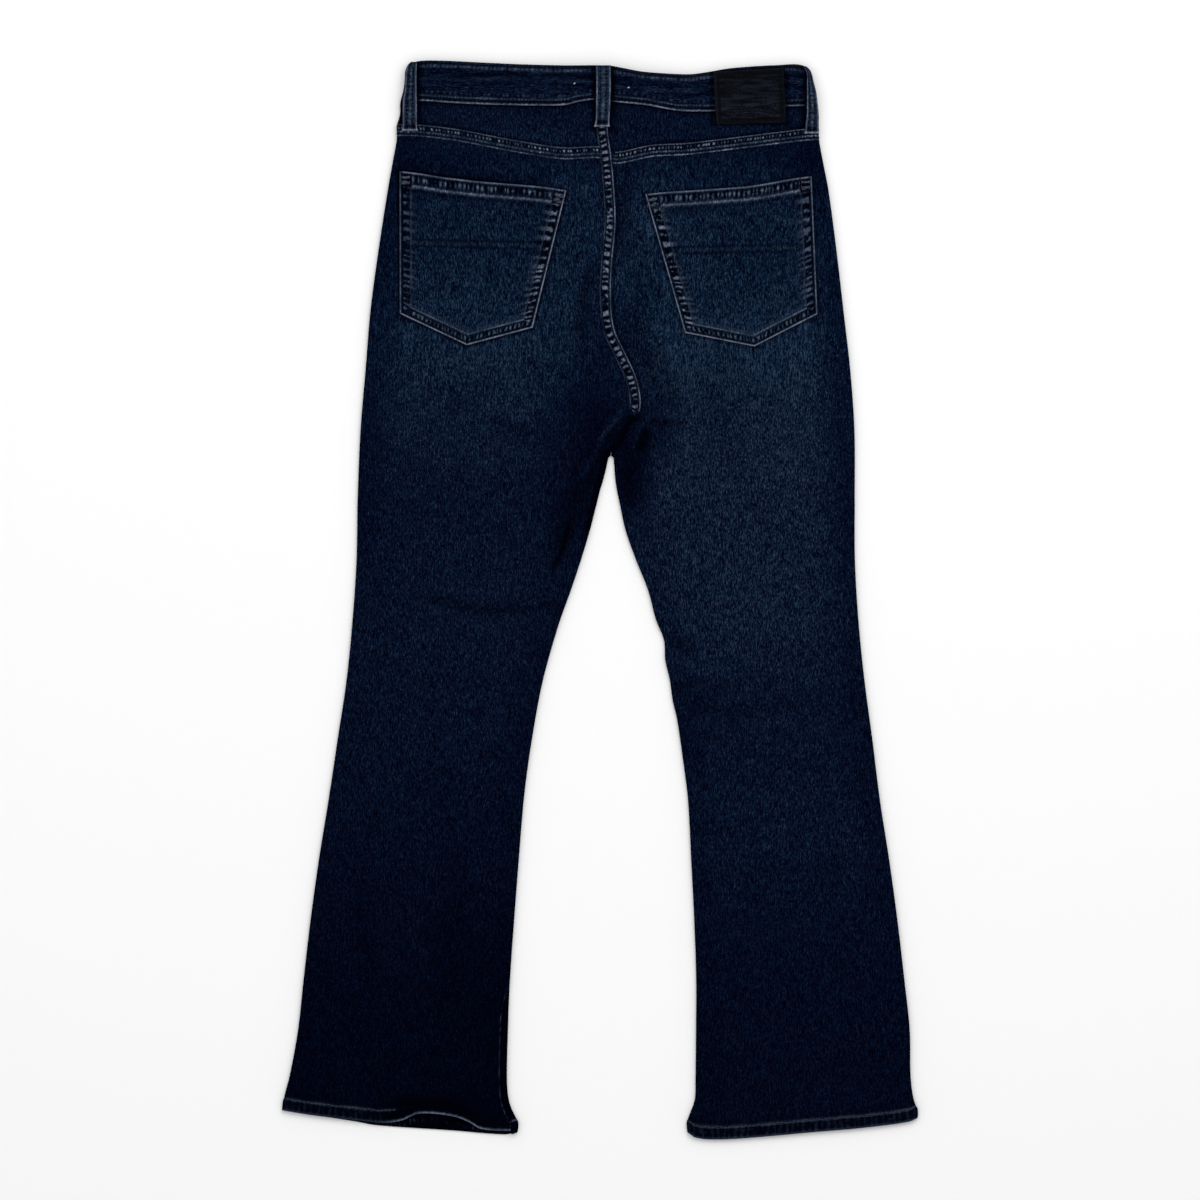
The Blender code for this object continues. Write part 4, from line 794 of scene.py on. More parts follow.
def frontLift(x, y):
    off = abs(x - lie["centreFront"])
    overLoops = frontLeg["loopLift"] * ease(off, 0.150, 0.112) * ease(y, 0.420, 0.452)
    overButton = frontLeg["buttonLift"] * ease(off, 0.042, 0.018) * ease(y, 0.440, 0.480)
    return np.maximum(overLoops, overButton) + lie["frontUp"]


def scoopDrop(side, x):     # how far the pocket mouth dips below the waistband seam
    share = np.clip(abs(x - outerX(side, lie["hip"])) / frontLeg["scoopWidth"], 0, 1)
    return frontLeg["scoopDepth"] * (1 - np.sin(np.arccos(1 - share)))


def frontAcross(side, kind, value, levelOf):     # points of a front panel's outer face
    sign = inwardSign[side]
    last = frontLeg["near"][-1]
    x = np.full(len(kind), sign * -0.12)
    for _ in range(6):
        y = levelOf(x)
        rolled = ease(y, lie["crotch"] + 0.004, lie["crotch"] - 0.004)
        over = inseamLength(side, y) - inseamTurn["gap"] * overInseam(side, y)
        lengthIn = mix(over, -last, value / last)

        def fromOuter(length):
            return outerX(side, y) + sign * squareTo(rolledIn(length), lambda at: outerX(side, at), y)

        def fromInner(length, path):
            inward = mix(length, rolledIn(path), rolled)
            return frontEdgeX(side, y) - sign * squareTo(inward, lambda at: frontEdgeX(side, at), y)

        middle = mix(fromOuter(last), fromInner(last, -last), value)
        x = choose(kind, fromOuter(value), middle, fromInner(value, lengthIn))
    lift = frontLift(x, y)
    onRoll = (kind == atOuter) & (value <= lie["rollArc"])
    z = np.where(onRoll, sidePath(value + frontLeg["sink"], lift)[1], lift)
    path = lengthIn - frontLeg["sink"] * (1 - overInseam(side, y))
    turned = np.where(path > 0, sidePath(path, topHeight(x, y))[1], sidePath(path, lift)[1])
    return x, y, np.where(kind == atInner, mix(z, turned, rolled), z)


def makeFrontLeg(side):
    top, pitch = frontLeg["topLevel"], frontLeg["pitch"]
    kind, value = steps(side, frontLeg["near"], frontLeg["between"], frontLeg["near"])
    lowest = frontLeg["hemLevel"] + hem["depth"] - hem["under"]
    levels = np.r_[spaced(top, lie["crotch"] + 0.0003, pitch),
                   spaced(lie["crotch"] - 0.0003, lowest, pitch)]

    def place(column, row):
        at = levels[row]

        def levelOf(x):
            y = slantedLevel(at, x, "frontBand", hemOf(side, "front"), frontLeg)
            y = y - scoopDrop(side, x) * ease(at, top - frontLeg["scoopReach"], top)
            return y - 0.0002 * ease(at, top - 0.02, top)

        x, y, z = frontAcross(side, kind[column], value[column], levelOf)
        mouth = ease(row * pitch, 0.006, 0) * (scoopDrop(side, x) > 0.0005) * 0.35
        # painted shade on the front's inner edge where it turns up beside the back's
        onTop = (kind[column] == atInner) * (z > lie["sideSeam"] + 0.0008) * overInseam(side, y)
        return x, y, z, mouth, 0.9 * onTop, toneAt(x, y)

    return makeCloth(f"frontLeg_{side}", f"front_leg_{side}", place, len(kind) - 1, len(levels) - 1,
                     legDenim, lie["cloth"], outwards=False)


# The hems are folded up inside.
hem = {
    "depth": 0.0125,
    "under": 0.0015,
    # (distance in from the hem's edge, height over the panel's outer face), in mm
    "profile": (
        (14.0, -0.35), (13.2, -0.10), (12.6, -0.05), (12.0, -0.28), (11.5, 0.02), (10.9, 0.30),
        (10.0, 0.42), (9.0, 0.48), (8.0, 0.50), (7.0, 0.50), (6.0, 0.50), (5.0, 0.50), (4.0, 0.50),
        (3.0, 0.50), (2.0, 0.48), (1.2, 0.38), (0.6, 0.12), (0.2, -0.28), (0.0, -0.75), (0.2, -1.22),
        (0.7, -1.62), (1.5, -1.75), (4.0, -1.75), (8.0, -1.70), (11.5, -1.20),
    ),
    "foldRow": 17,      # the rows after this one lie inside
    "between": 230,
    "pucker": 0.00022,
    "cloth": 0.0006,
    # how light the stitches, the fold and the puckers are
    "light": {"left": (0.56, 0.26, 0.12), "right": (0.66, 0.30, 0.15)},
}


def makeHem(side, layer):
    isBack, isLeft = layer == "back", side == "left"
    near = (backLeg if isBack else frontLeg)["near"]
    kind, value = steps(side, near, hem["between"], near)
    profile = np.array(hem["profile"]) / 1000
    curve = hemOf(side, layer)
    stitchMost, edgeMost, crestMost = hem["light"][side]
    seed = 11 + 2 * isLeft + isBack

    def place(column, row):
        fromEdge, over = profile[row].T
        across = backAcross if isBack else frontAcross
        x, y, z = across(side, kind[column], value[column], lambda x: level(curve, x) + fromEdge)
        fromSide = np.minimum(abs(x - outerX(side, y)), abs(x - gapX(side, y)))
        inside = row > hem["foldRow"]
        full = np.where(inside, ease(fromSide, 0.0, 0.008), ease(fromSide, -0.001, 0.003))
        rope = np.clip(0.8 * strokes(x, fromEdge, 0.0120, seed, 0.0060)
                       + 0.9 * speckle(x, fromEdge, 0.0030, seed + 12), -1, 1)
        band = within(fromEdge, 0.0008, 0.0028, 0.0102, 0.0122) * ~inside
        z = z + (1 if isBack else -1) * (over * mix(0.25, 1, full) + hem["pucker"] * rope * band * full)
        if not isBack:
            z = np.maximum(z, 0.0002)
        stitch = bell(fromEdge - 0.0122, 0.0017) * ~inside
        edge = ease(fromEdge, 0.0038, 0.0005) * ~inside
        arched = isLeft * isBack * ease(x, -0.2300, -0.1960)
        stitchLight = mix(stitchMost, 0.0, arched) * patchy(x, seed + 7, 0.5)
        stitchLight = stitchLight * (0.88 + 0.12 * ribs(x, seed + 6, 0.0064))
        wear = stitch * stitchLight + edge * mix(edgeMost, 0.70, arched) * patchy(x, seed + 9, 0.7)
        crest = band * ease(rope, -0.1, 0.9) * (0.65 + 0.35 * speckle(x, fromEdge, 0.0022, seed + 8))
        wear += crest * mix(crestMost, 0.04, arched)
        # painted shade in the pucker hollows, inside the fold, along a line under the stitches and under
        # the arch
        dark = band * mix(0.35, 0.85, ease(rope, 0.5, -0.5)) * (0.75 + 0.25 * patchy(x, seed))
        dark += 0.75 * inside + 0.60 * bell(fromEdge - 0.0102, 0.0008) * ~inside
        knob = ease(x, -0.1180, -0.1000)     # the thick corner by the inseam
        dark += arched * (1 - 0.75 * knob) * ease(fromEdge, 0.0022, 0.0048) * ~inside
        wear += arched * ease(x, -0.0935, -0.0925) * band * ease(ribs(y, 19, 0.0052), 0.0, 0.6) * 0.60
        if isLeft and not isBack:     # its inside shows through the arch, painted in shade with lighter streaks
            below = level("hemLeftBack", x) - y
            streak = ease(ribs(x, 21, 0.0044) + 0.5 * speckle(x, y, 0.0020, 23), 0.2, 0.9)
            streak = streak * bell(below - 0.004, 0.004)
            seen = ease(below, -0.0060, -0.0020) * (z > 0.0004)
            wear, dark = mix(wear, 0.34 * streak, seen), mix(dark, 0.97 - 0.75 * streak, seen)
        return x, y, z, wear, dark, toneAt(x, y) + 0.05

    return makeCloth(f"hem_{layer}_{side}", None, place, len(kind) - 1, len(profile) - 1, legDenim,
                     hem["cloth"], outwards=isBack)


yoke = {"between": 112, "rows": 33, "inner": (0, 0.002, 0.006, 0.012), "past": 0.002, "drag": 0.00025}


def loopShadows(x, y):     # painted shadows beside and under the belt loops
    total = 0 * x
    for _, edges in loops.values():
        top, low = edges[0][0], edges[-1][0]
        left, right = loopEdges(edges, np.clip(y, low, top))
        off = np.maximum(np.maximum(left - x, x - right), low - y)
        total += 0.97 * ease(off, 0.0080, 0.0006) * (off > -0.002) * (y < top)
    return total


# painted shadow round the leather patch
def patchShadow(x, y):
    (left, top), _, (right, low), _ = patch["corners"]
    off = np.maximum(np.maximum(left - x, x - right), np.maximum(low - y, y - top))
    return bell(np.maximum(0, off) - 0.0008, 0.0022)


def makeYoke(side):
    sign, near = inwardSign[side], backLeg["near"]
    kind, value = steps(side, near, yoke["between"], yoke["inner"])

    def place(column, row):
        here, much = kind[column], value[column]
        x, y, _, _ = settle(np.full(len(column), sign * -0.1), here, much, row / yoke["rows"],
                            lambda x: (level("band", x) + yoke["past"], level("yoke", x) + yoke["past"]),
                            lambda y: overSide(side, y, np.where(here == atOuter, much, near[-1])),
                            lambda y: seatSeamX(y) - sign * (np.where(here == atInner, much,
                                                                      yoke["inner"][-1]) + 0.0002))
        top = topHeight(x, y)
        z = np.where(here == atOuter, sidePath(much + backLeg["sink"], top)[1], top)
        fromBand = level("band", x) - y
        drag = ribs(x, 31, 0.012) * bell(fromBand, 0.010)     # short folds below the waistband
        z += yoke["drag"] * drag
        # painted shade under the waistband, in the drag folds and creases and above the yoke seam, and
        # painted shadows beside the loops and the patch
        dark = 0.75 * bell(fromBand - 0.0006, 0.0016) + ease(fromBand, 0.0080, 0) * 0.25
        dark += np.clip(-drag, 0, 1) * 0.12
        dark += np.clip(foldShadeAndWear(x, y), 0, 1) + 0.70 * bell(y - level("yoke", x) - 0.0138, 0.0017)
        dark += loopShadows(x, y) + 0.8 * patchShadow(x, y)
        return x, y, z, 0 * x, dark, toneAt(x, y)

    return makeCloth(f"yokePanel_{side}", f"yoke_{side}", place, len(kind) - 1, yoke["rows"], legDenim,
                     lie["cloth"])


# Felled seams: the doubled strips of the seat and the yokes. Left and right are the yokes' ones.
felled = {
    "rise": 0.0010,
    "sink": 0.0004,
    "across": {         # mm from the folded edge
        "seat": (0, 0.3, 0.7, 1.1, 1.6, 2.1, 2.6, 3.2, 4.0, 5.0, 6.0, 7.0, 8.0, 8.5, 9.0, 9.5, 10.0,
                 10.5, 10.9, 11.2, 11.5),
        "yoke": (0, 0.3, 0.7, 1.1, 1.6, 2.1, 2.6, 3.2, 3.8, 4.4, 5.0, 5.8, 6.4, 7.0, 7.7, 8.4, 9.1,
                 9.8, 10.4, 11.0, 11.6, 12.0, 12.4),
    },
    "pitch": 0.0008,
    "seed": {"seat": 41, "left": 42, "right": 43},
    # the level of the outer end, and how far past the seat seam the inner end is
    "ends": {"left": (0.4640, -0.0095), "right": (0.4600, -0.0002)},
    "rows": {"seat": (1.9, 9.2), "left": (2.4, 10.2), "right": (2.4, 10.2)},     # of stitches, in mm
    "grooves": {"seat": (1.9, 9.2), "left": (2.4, 6.4, 10.2), "right": (2.4, 6.4, 10.2)},
    "pucker": 0.00026,
    "light": {          # how worn its folded and far edges are, then its second line: where, how worn
        "seat": (1.02, 0.42, 0.0034, 0.30),
        "left": (0.98, 0.64, 0.0048, 0.94),
        "right": (1.25, 0.76, 0.0048, 1.16),
    },
    "crest": {"seat": 0.86, "left": 1.00, "right": 1.05},
    # how much painted shade fills its grooves
    "depth": {"seat": 0.86, "left": 0.60, "right": 0.84},
}


def walk(points, pitch):     # points and unit tangents every pitch along a polyline
    points = np.asarray(points)
    lengths = np.r_[0, np.cumsum(np.hypot(*np.diff(points, axis=0).T))]
    at = np.linspace(0, lengths[-1], max(2, round(lengths[-1] / pitch) + 1))
    line = np.column_stack([np.interp(at, lengths, points[:, i]) for i in (0, 1)])
    tangent = np.gradient(line, axis=0)
    tangent /= np.hypot(*tangent.T)[:, None]
    return at, line, tangent


def seamLine(name):     # the folded edge of a seam, and which way its strip lies from it
    if name == "seat":
        y = np.linspace(0.4965, lie["seamEnd"] - 0.0015, 400)
        return np.column_stack([seatSeamX(y) + 0.0004, y]), -1
    sign = inwardSign[name]
    outerEnd, innerEnd = felled["ends"][name]
    x = overSide(name, outerEnd, np.r_[0:0.0044:8j, 0.0060:0.2200:300j])
    x = x[(x - seatSeamX(level("yoke", x) + 0.004)) * sign < innerEnd]
    return np.column_stack([x, level("yoke", x)]), sign


def makeFelledSeam(name):
    line, direction = seamLine(name)
    along, points, tangent = walk(line, felled["pitch"])
    isSeat = name == "seat"
    across = np.array(felled["across"]["seat" if isSeat else "yoke"]) / 1000
    wide = across[-1]
    seed = felled["seed"][name]
    foldLight, farLight, secondAt, secondLight = felled["light"][name]

    def place(column, row):
        at, off = (row, column) if isSeat else (column, row)
        q = across[off] if isSeat else across[::-1][off]
        t, s = tangent[at], along[at]
        x = points[at, 0] - direction * t[:, 1] * q
        y = points[at, 1] + direction * t[:, 0] * q
        fine = ribs(s, seed + 5, 0.0031)
        if isSeat:
            rope = strokes(s, q, 0.0115, seed, 0.0067)
            between = within(q, 0.0024, 0.0036, 0.0088, 0.0096)
        else:
            rope = np.clip(1.1 * ribs(s + 0.4 * q, seed, 0.0036) + 0.6 * ribs(s, seed + 4, 0.0095)
                           + 0.4 * speckle(s, q, 0.0016, seed), -1, 1)
            between = within(q, 0.0067, 0.0077, 0.0091, 0.0100)
        body = within(q, 0.0000, 0.0007, wide - 0.0011, wide)
        grooves = sum(bell(q - groove / 1000, 0.0008) for groove in felled["grooves"][name])
        z = backSurface(x, y) - felled["sink"] + (felled["rise"] + felled["sink"]) * body
        z += felled["pucker"] * rope * between * body - 0.00022 * grooves * body
        q = q + 0.00040 * ribs(s, seed + 8, 0.0048) + 0.00025 * fine       # its lines waver
        worn = 1.0 if isSeat else 0.75 + 0.45 * speckle(s, q, 0.0021, seed + 9)
        wear = foldLight * bell(q - 0.0007, 0.0010) * patchy(s, seed + 1, 0.45)
        wear = wear * (0.85 + 0.15 * fine) * worn
        farWidth, farLeast = (0.0013, 0.25) if isSeat else (0.0008, 0.6)
        wear += farLight * bell(q - wide + 0.0006, farWidth) * patchy(s, seed + 2, farLeast)
        second = secondLight * bell(q - secondAt, 0.0010) * patchy(s, seed + 3, 0.4) * (0.60 + 0.40 * fine)
        if isSeat:
            rope = rope * mix(0.6, 1, ease(y, 0.200, 0.230))
        crest = between * ease(rope, -0.1, 0.8) * (0.75 + 0.25 * speckle(s, q, 0.0022, seed + 6))
        wear += np.maximum(crest * felled["crest"][name], second * worn)
        # painted shade in the pucker hollows and the grooves
        dark = np.maximum(between * 0.95 * ease(rope, 0.4, -0.4),
                          grooves * felled["depth"][name] * (1 - 0.24 * fine))
        dark *= 1 - 0.7 * np.clip(second, 0, 1)
        if isSeat:     # it runs under the waistband above and between the legs below, darkened there by painted shade
            z -= 0.0026 * ease(y, lie["seamEnd"] + 0.005, lie["seamEnd"] - 0.001)
            wear *= mix(0.40, 1, ease(y, 0.512, 0.478))
            dark += 0.40 * ease(y, 0.478, 0.486) + 0.6 * ease(y, 0.1905, 0.1860)
            dark += 0.4 * ease(q, 0.0060, 0.0100) * ease(y, 0.462, 0.474)
        return x, y, z, wear, dark, toneAt(x, y) + 0.10

    grid = len(along) - 1, len(across) - 1
    piece = makeCloth(f"felledSeam_{name}", None, place, *(grid[::-1] if isSeat else grid), legDenim, 0)
    fixFacing(piece)
    return piece


def fixFacing(piece):     # faces of a strip point up, whichever way it was laid
    bm = bmesh.new()
    bm.from_mesh(piece.data)
    up = sum(face.normal.z * face.calc_area() for face in bm.faces)
    if up < 0:
        bmesh.ops.reverse_faces(bm, faces=bm.faces)
    bm.to_mesh(piece.data)
    bm.free()


band = {
    "cloth": 0.0021,
    "extra": 0.0012,        # its outer face stands this far above one layer
    "extraAtSides": 0.0004,
    "sink": 0.0006,         # its ends lie this much cloth further round
    "between": 620,
    "rows": 50,
    "topRound": (0.0014, 0.0011),       # reach and depth of its rounded edges
    "lowRound": (0.0008, 0.0006),
    "topRow": 0.0027,       # stitches this far below its top edge
    "lowRow": 0.0036,       # and above its lower edge
    "frontCloth": 0.0019,
    "frontBetween": 96,
    "frontRows": 18,
    "frontDrop": 0.0030,
    "overlap": 0.0210,      # the left end laps over the right one
    "overlapLift": 0.0028,
}


def bandSurface(x, y):
    return turnedDown(x, y, lie["sideSeam"] + band["extraAtSides"], topHeight(x, y) + band["extra"])


def ropeAcross(x, q, fine, coarse, spots):     # uneven puckers, -1 to 1; each is (strength, seed, size)
    return np.clip(fine[0] * ribs(x, *fine[1:]) + coarse[0] * ribs(x, *coarse[1:])
                   + spots[0] * speckle(x, q, spots[2], spots[1]), -1, 1)


def makeBandBack():
    near = backLeg["near"][:9]
    kind, value = steps("left", near, band["between"], near)

    def place(column, row):
        here, much = kind[column], value[column]
        x, y, high, low = settle(np.zeros(len(column)), here, much, closer(row / band["rows"], 0.16),
                                 lambda x: (level("waist", x), level("band", x)),
                                 lambda y: overSide("left", y, np.where(here == atOuter, much, near[-1])),
                                 lambda y: overSide("right", y, np.where(here == atInner, much, near[-1])))
        top = topHeight(x, y) + band["extra"]
        z = np.where(here == inMiddle, top, sidePath(much + band["sink"], top)[1])
        fromTop, fromLow = high - y, y - low
        for edge, (reach, depth) in ((fromTop, band["topRound"]), (fromLow, band["lowRound"])):
            z -= depth * (1 - rounded(edge, reach))
        z -= 0.0002 * (bell(fromTop - band["topRow"], 0.0008) + bell(fromLow - band["lowRow"], 0.0008))
        # lengthwise creases wander
        middle = fromTop - 0.0128 - np.sin(x * 31 + 0.6) * 0.0022 - np.sin(x * 83) * 0.0009
        crease = bell(middle, 0.0022) * (0.55 + 0.45 * np.sin(x * 47 + 1))
        lower = bell(middle - 0.0085, 0.0022) * (0.5 + 0.5 * np.sin(x * 59 + 2.2))
        z -= 0.00035 * crease + 0.00022 * lower
        # puckers beside both rows of stitches
        nearLow = within(fromLow, 0.0072, 0.0090, 0.0100, 0.0124)
        nearTop = within(fromTop, 0.0033, 0.0042, 0.0058, 0.0080)
        lowRope = ropeAcross(x, fromLow, (0.9, 51, 0.0050), (0.5, 64, 0.0160), (0.5, 65, 0.0024))
        topRope = ropeAcross(x, fromTop, (0.8, 53, 0.0042), (0.5, 66, 0.0150), (0.5, 67, 0.0024))
        teeth = ease(ribs(x, 55, 0.0034), -0.3, 0.5)
        z += 0.00018 * lowRope * nearLow + 0.0001 * topRope * nearTop
        lowRow, topRow = bell(fromLow - band["lowRow"], 0.0012), bell(fromTop - band["topRow"], 0.0010)
        lowEdge = fromLow + 0.00035 * ribs(x, 61, 0.0052)
        wear = 0.96 * ease(lowEdge, 0.0022, 0.0009) * patchy(x, 56, 0.7)
        wear += 0.06 * topRow * teeth + 0.12 * bell(fromTop - 0.0014, 0.0006)
        wear += bell(fromLow - 0.0058, 0.0011) * (0.40 + 0.30 * ribs(x, 57, 0.0032)) * patchy(x, 60, 0.6)
        wear += nearLow * np.clip(lowRope, 0, 1) * 0.32 + nearTop * (0.27 + 0.20 * topRope)
        wear += 0.12 * bell(middle - 0.0038, 0.0016) * patchy(x, 59, 0.2)
        wear *= 0.80 + 0.20 * speckle(x, y, 0.0020, 62)
        # painted shade in the creases and pucker hollows, along the rows of stitches, at the top edge, and
        # painted shadows beside the loops and the patch
        dark = 0.60 * crease + 0.62 * lower + nearLow * np.clip(-lowRope, 0, 1) * 0.60
        dark += 0.35 * within(fromTop, 0.0078, 0.0090, 0.0120, 0.0140)
        dark += 0.40 * bell(fromLow - 0.0080, 0.0009)
        dark += nearTop * np.clip(-topRope, 0, 1) * 0.40 + 0.45 * ease(fromTop, 0.0012, 0)
        dark += 1.30 * lowRow * (1 - 0.55 * teeth) + 1.00 * topRow * (1 - 0.50 * teeth)
        dark += loopShadows(x, y) + 0.7 * patchShadow(x, y)
        return x, y, z, wear, dark, toneAt(x, y) + 0.08

    return makeCloth("waistband_rear", "waistband_back", place, len(kind) - 1, band["rows"], bandDenim,
                     band["cloth"])


def makeBandFront(side):
    sign, near, inner = inwardSign[side], backLeg["near"][:9], (0, 0.0006, 0.0014)
    endX = lie["centreFront"] + sign * band["overlap"]
    kind, value = steps(side, near, band["frontBetween"], inner)

    def place(column, row):
        here, much = kind[column], value[column]
        x, y, high, low = settle(np.full(len(column), sign * -0.1), here, much, row / band["frontRows"],
                                 lambda x: (level("waist", x) - band["frontDrop"], level("frontBand", x)),
                                 lambda y: overSide(side, y, np.where(here == atOuter, much, near[-1])),
                                 lambda y: endX - sign * np.where(here == atInner, much, inner[-1]))
        z = frontLift(x, y)
        if side == "right":
            overlapEnd = endX + 2 * band["overlap"]
            z = z + band["overlapLift"] * ease(x, overlapEnd + 0.022, overlapEnd + 0.003)
        z = np.where((here == atOuter) & (much <= lie["rollArc"]), sidePath(much + band["sink"], z)[1], z)
        edge = np.minimum(high - y, y - low)
        z = z + 0.0007 * ease(edge, 0.0012, 0)
        # its edges get painted shade, and a little wear
        return x, y, z, 0.45 * ease(edge, 0.0016, 0.0002), 0.15 * ease(edge, 0.006, 0.002), toneAt(x, y)

    return makeCloth(f"waistband_fore_{side}", f"waistband_front_{side}", place, len(kind) - 1,
                     band["frontRows"], bandDenim, band["frontCloth"], outwards=False)


hipPiece = {
    "near": (0.0, 0.0015, 0.0030, 0.0044),
    "between": 34,
    "rows": 26,
    "behind": 0.0021,       # how far it lies behind the front panel's face
    "margin": 0.0160,       # and past the pocket mouth
    "tail": 0.0160,
    "in": 0.0014,
    "cloth": 0.0008,
}


def makeHipPiece(side):
    sign, near = inwardSign[side], hipPiece["near"]
    kind, value = steps(side, near, hipPiece["between"], (0,))
    edge = outerX(side, lie["hip"])
    wide, deep = (frontLeg[size] + hipPiece["margin"] for size in ("scoopWidth", "scoopDepth"))

    def place(column, row):
        here, much = kind[column], value[column]

        def edgesAt(x):
            top = level("frontBand", x) - 0.0002
            share = np.clip(abs(x - edge) / wide, 0, 1)
            return top, top - (deep * np.sqrt(1 - share**2) + hipPiece["tail"])

        def outerAt(y):
            return overSide(side, y, np.where(here == atOuter, much, near[-1])) + sign * hipPiece["in"]

        start = np.full(len(column), edge + sign * 0.05)
        x, y, _, _ = settle(start, here, much, row / hipPiece["rows"], edgesAt, outerAt,
                            lambda y: edge + sign * wide)
        z = frontLift(x, y) + hipPiece["behind"]
        rolled = sidePath(much + 0.0018, hipPiece["behind"])[1] * 0.9
        z = np.where(here == atOuter, np.maximum(z, rolled), z)
        return x, y, z, 0 * x, 0.2 + 0 * x, toneAt(x, y)

    return makeCloth(f"hipPiece_{side}", f"front_pocket_{side}", place, len(kind) - 1, hipPiece["rows"],
                     legDenim, hipPiece["cloth"], outwards=False)


pocket = {
    # outer top, inner top, inner bottom, point, outer bottom
    "left": ((-0.2007, 0.4287), (-0.0335, 0.4090), (-0.0672, 0.2721), (-0.1332, 0.2545),
             (-0.2004, 0.2862)),
    "right": ((0.2118, 0.4240), (0.0450, 0.4057), (0.0848, 0.2669), (0.1545, 0.2532),
              (0.2176, 0.2857)),
    "dip": {"left": 0.0002, "right": 0.0028},       # of the top edge's middle
    "topEdge": {        # how it runs, from the outer corner to the inner one, in mm off a straight line
        "left": (0.4, 0.4, -0.6, -0.7, -0.5, 0.3, 1.1, 1.5, 0.7),
        "right": (0.0, -0.5, -2.1, -3.1, -2.6, -1.8, -1.0, 0.1, 0.3),
    },
    "nearEdge": (0, 0.4, 0.8, 1.3, 1.9, 2.6, 3.5, 4.5, 5.5, 6.5, 7.5, 8.5, 9.5, 10.3, 10.9, 11.4, 11.9,
                 12.5, 13.3, 14.5),      # mm
    "pitch": 0.0012,
    "turning": 0.0115,      # width of the turned sides
    "rowsDown": (0.0680, 0.0745),       # two level rows of stitches, below the outer top corner
    "rowsSlant": 0.0035,                # and how much lower they are on the inner side
    "seed": {"left": 61, "right": 66},
    "rows": (0.0021, 0.0090),           # rows of stitches in from the sides and the bottom
    "topRows": (0.0022, 0.0112),
    "tacks": (0.0060, 0.0112),          # bar tacks this far below the top corners
    "lowRow": 0.0104,       # the second line along the bottom
    "topLine": {"left": 0.0138, "right": 0.0132},
    "topHem": 0.0152,
    "edgeLight": {"left": (0.62, 1.0), "right": (0.70, 0.85)},      # of the outer side and the inner one
    "ticks": {"left": 0.45, "right": 0.65},     # how strong they are on the outer side
    "rise": 0.0013,
    "middle": 0.0010,       # the middle is single cloth
    "pucker": 0.00032,
    "sag": 0.0007,
    "cloth": 0.0008,
    "ring": (0.0042, 0.0008),       # painted shadow on the cloth around it, from this far off to this near
    "ringShadow": {"left": 0.75, "right": 0.50},
}


def pocketSize(side):
    corners = pocket[side]
    return abs(corners[1][0] - corners[0][0]), corners[0][1] - corners[4][1]


def pocketAt(side, across, down):     # (x, y) from shares across, from the outer side, and down
    outerTop, innerTop, innerLow, point, outerLow = (np.array(corner) for corner in pocket[side])
    top = outerTop + (innerTop - outerTop) * across[:, None]
    top[:, 1] += through([(i / 8, off / 1000) for i, off in enumerate(pocket["topEdge"][side])], across)
    share = (point[0] - outerLow[0]) / (innerLow[0] - outerLow[0])
    low = np.where((across < share)[:, None], outerLow + (point - outerLow) * (across / share)[:, None],
                   point + (innerLow - point) * ((across - share) / (1 - share))[:, None])
    return (top + (low - top) * down[:, None]).T


def fromLine(start, end, x, y):
    along = np.subtract(end, start)
    return abs((x - start[0]) * along[1] - (y - start[1]) * along[0]) / np.hypot(*along)


def pocketShares(size):     # closer near the edges
    near = np.array(pocket["nearEdge"]) / 1000 / size
    return np.r_[near, spaced(near[-1], 1 - near[-1], pocket["pitch"] / size)[1:-1], 1 - near[::-1]]


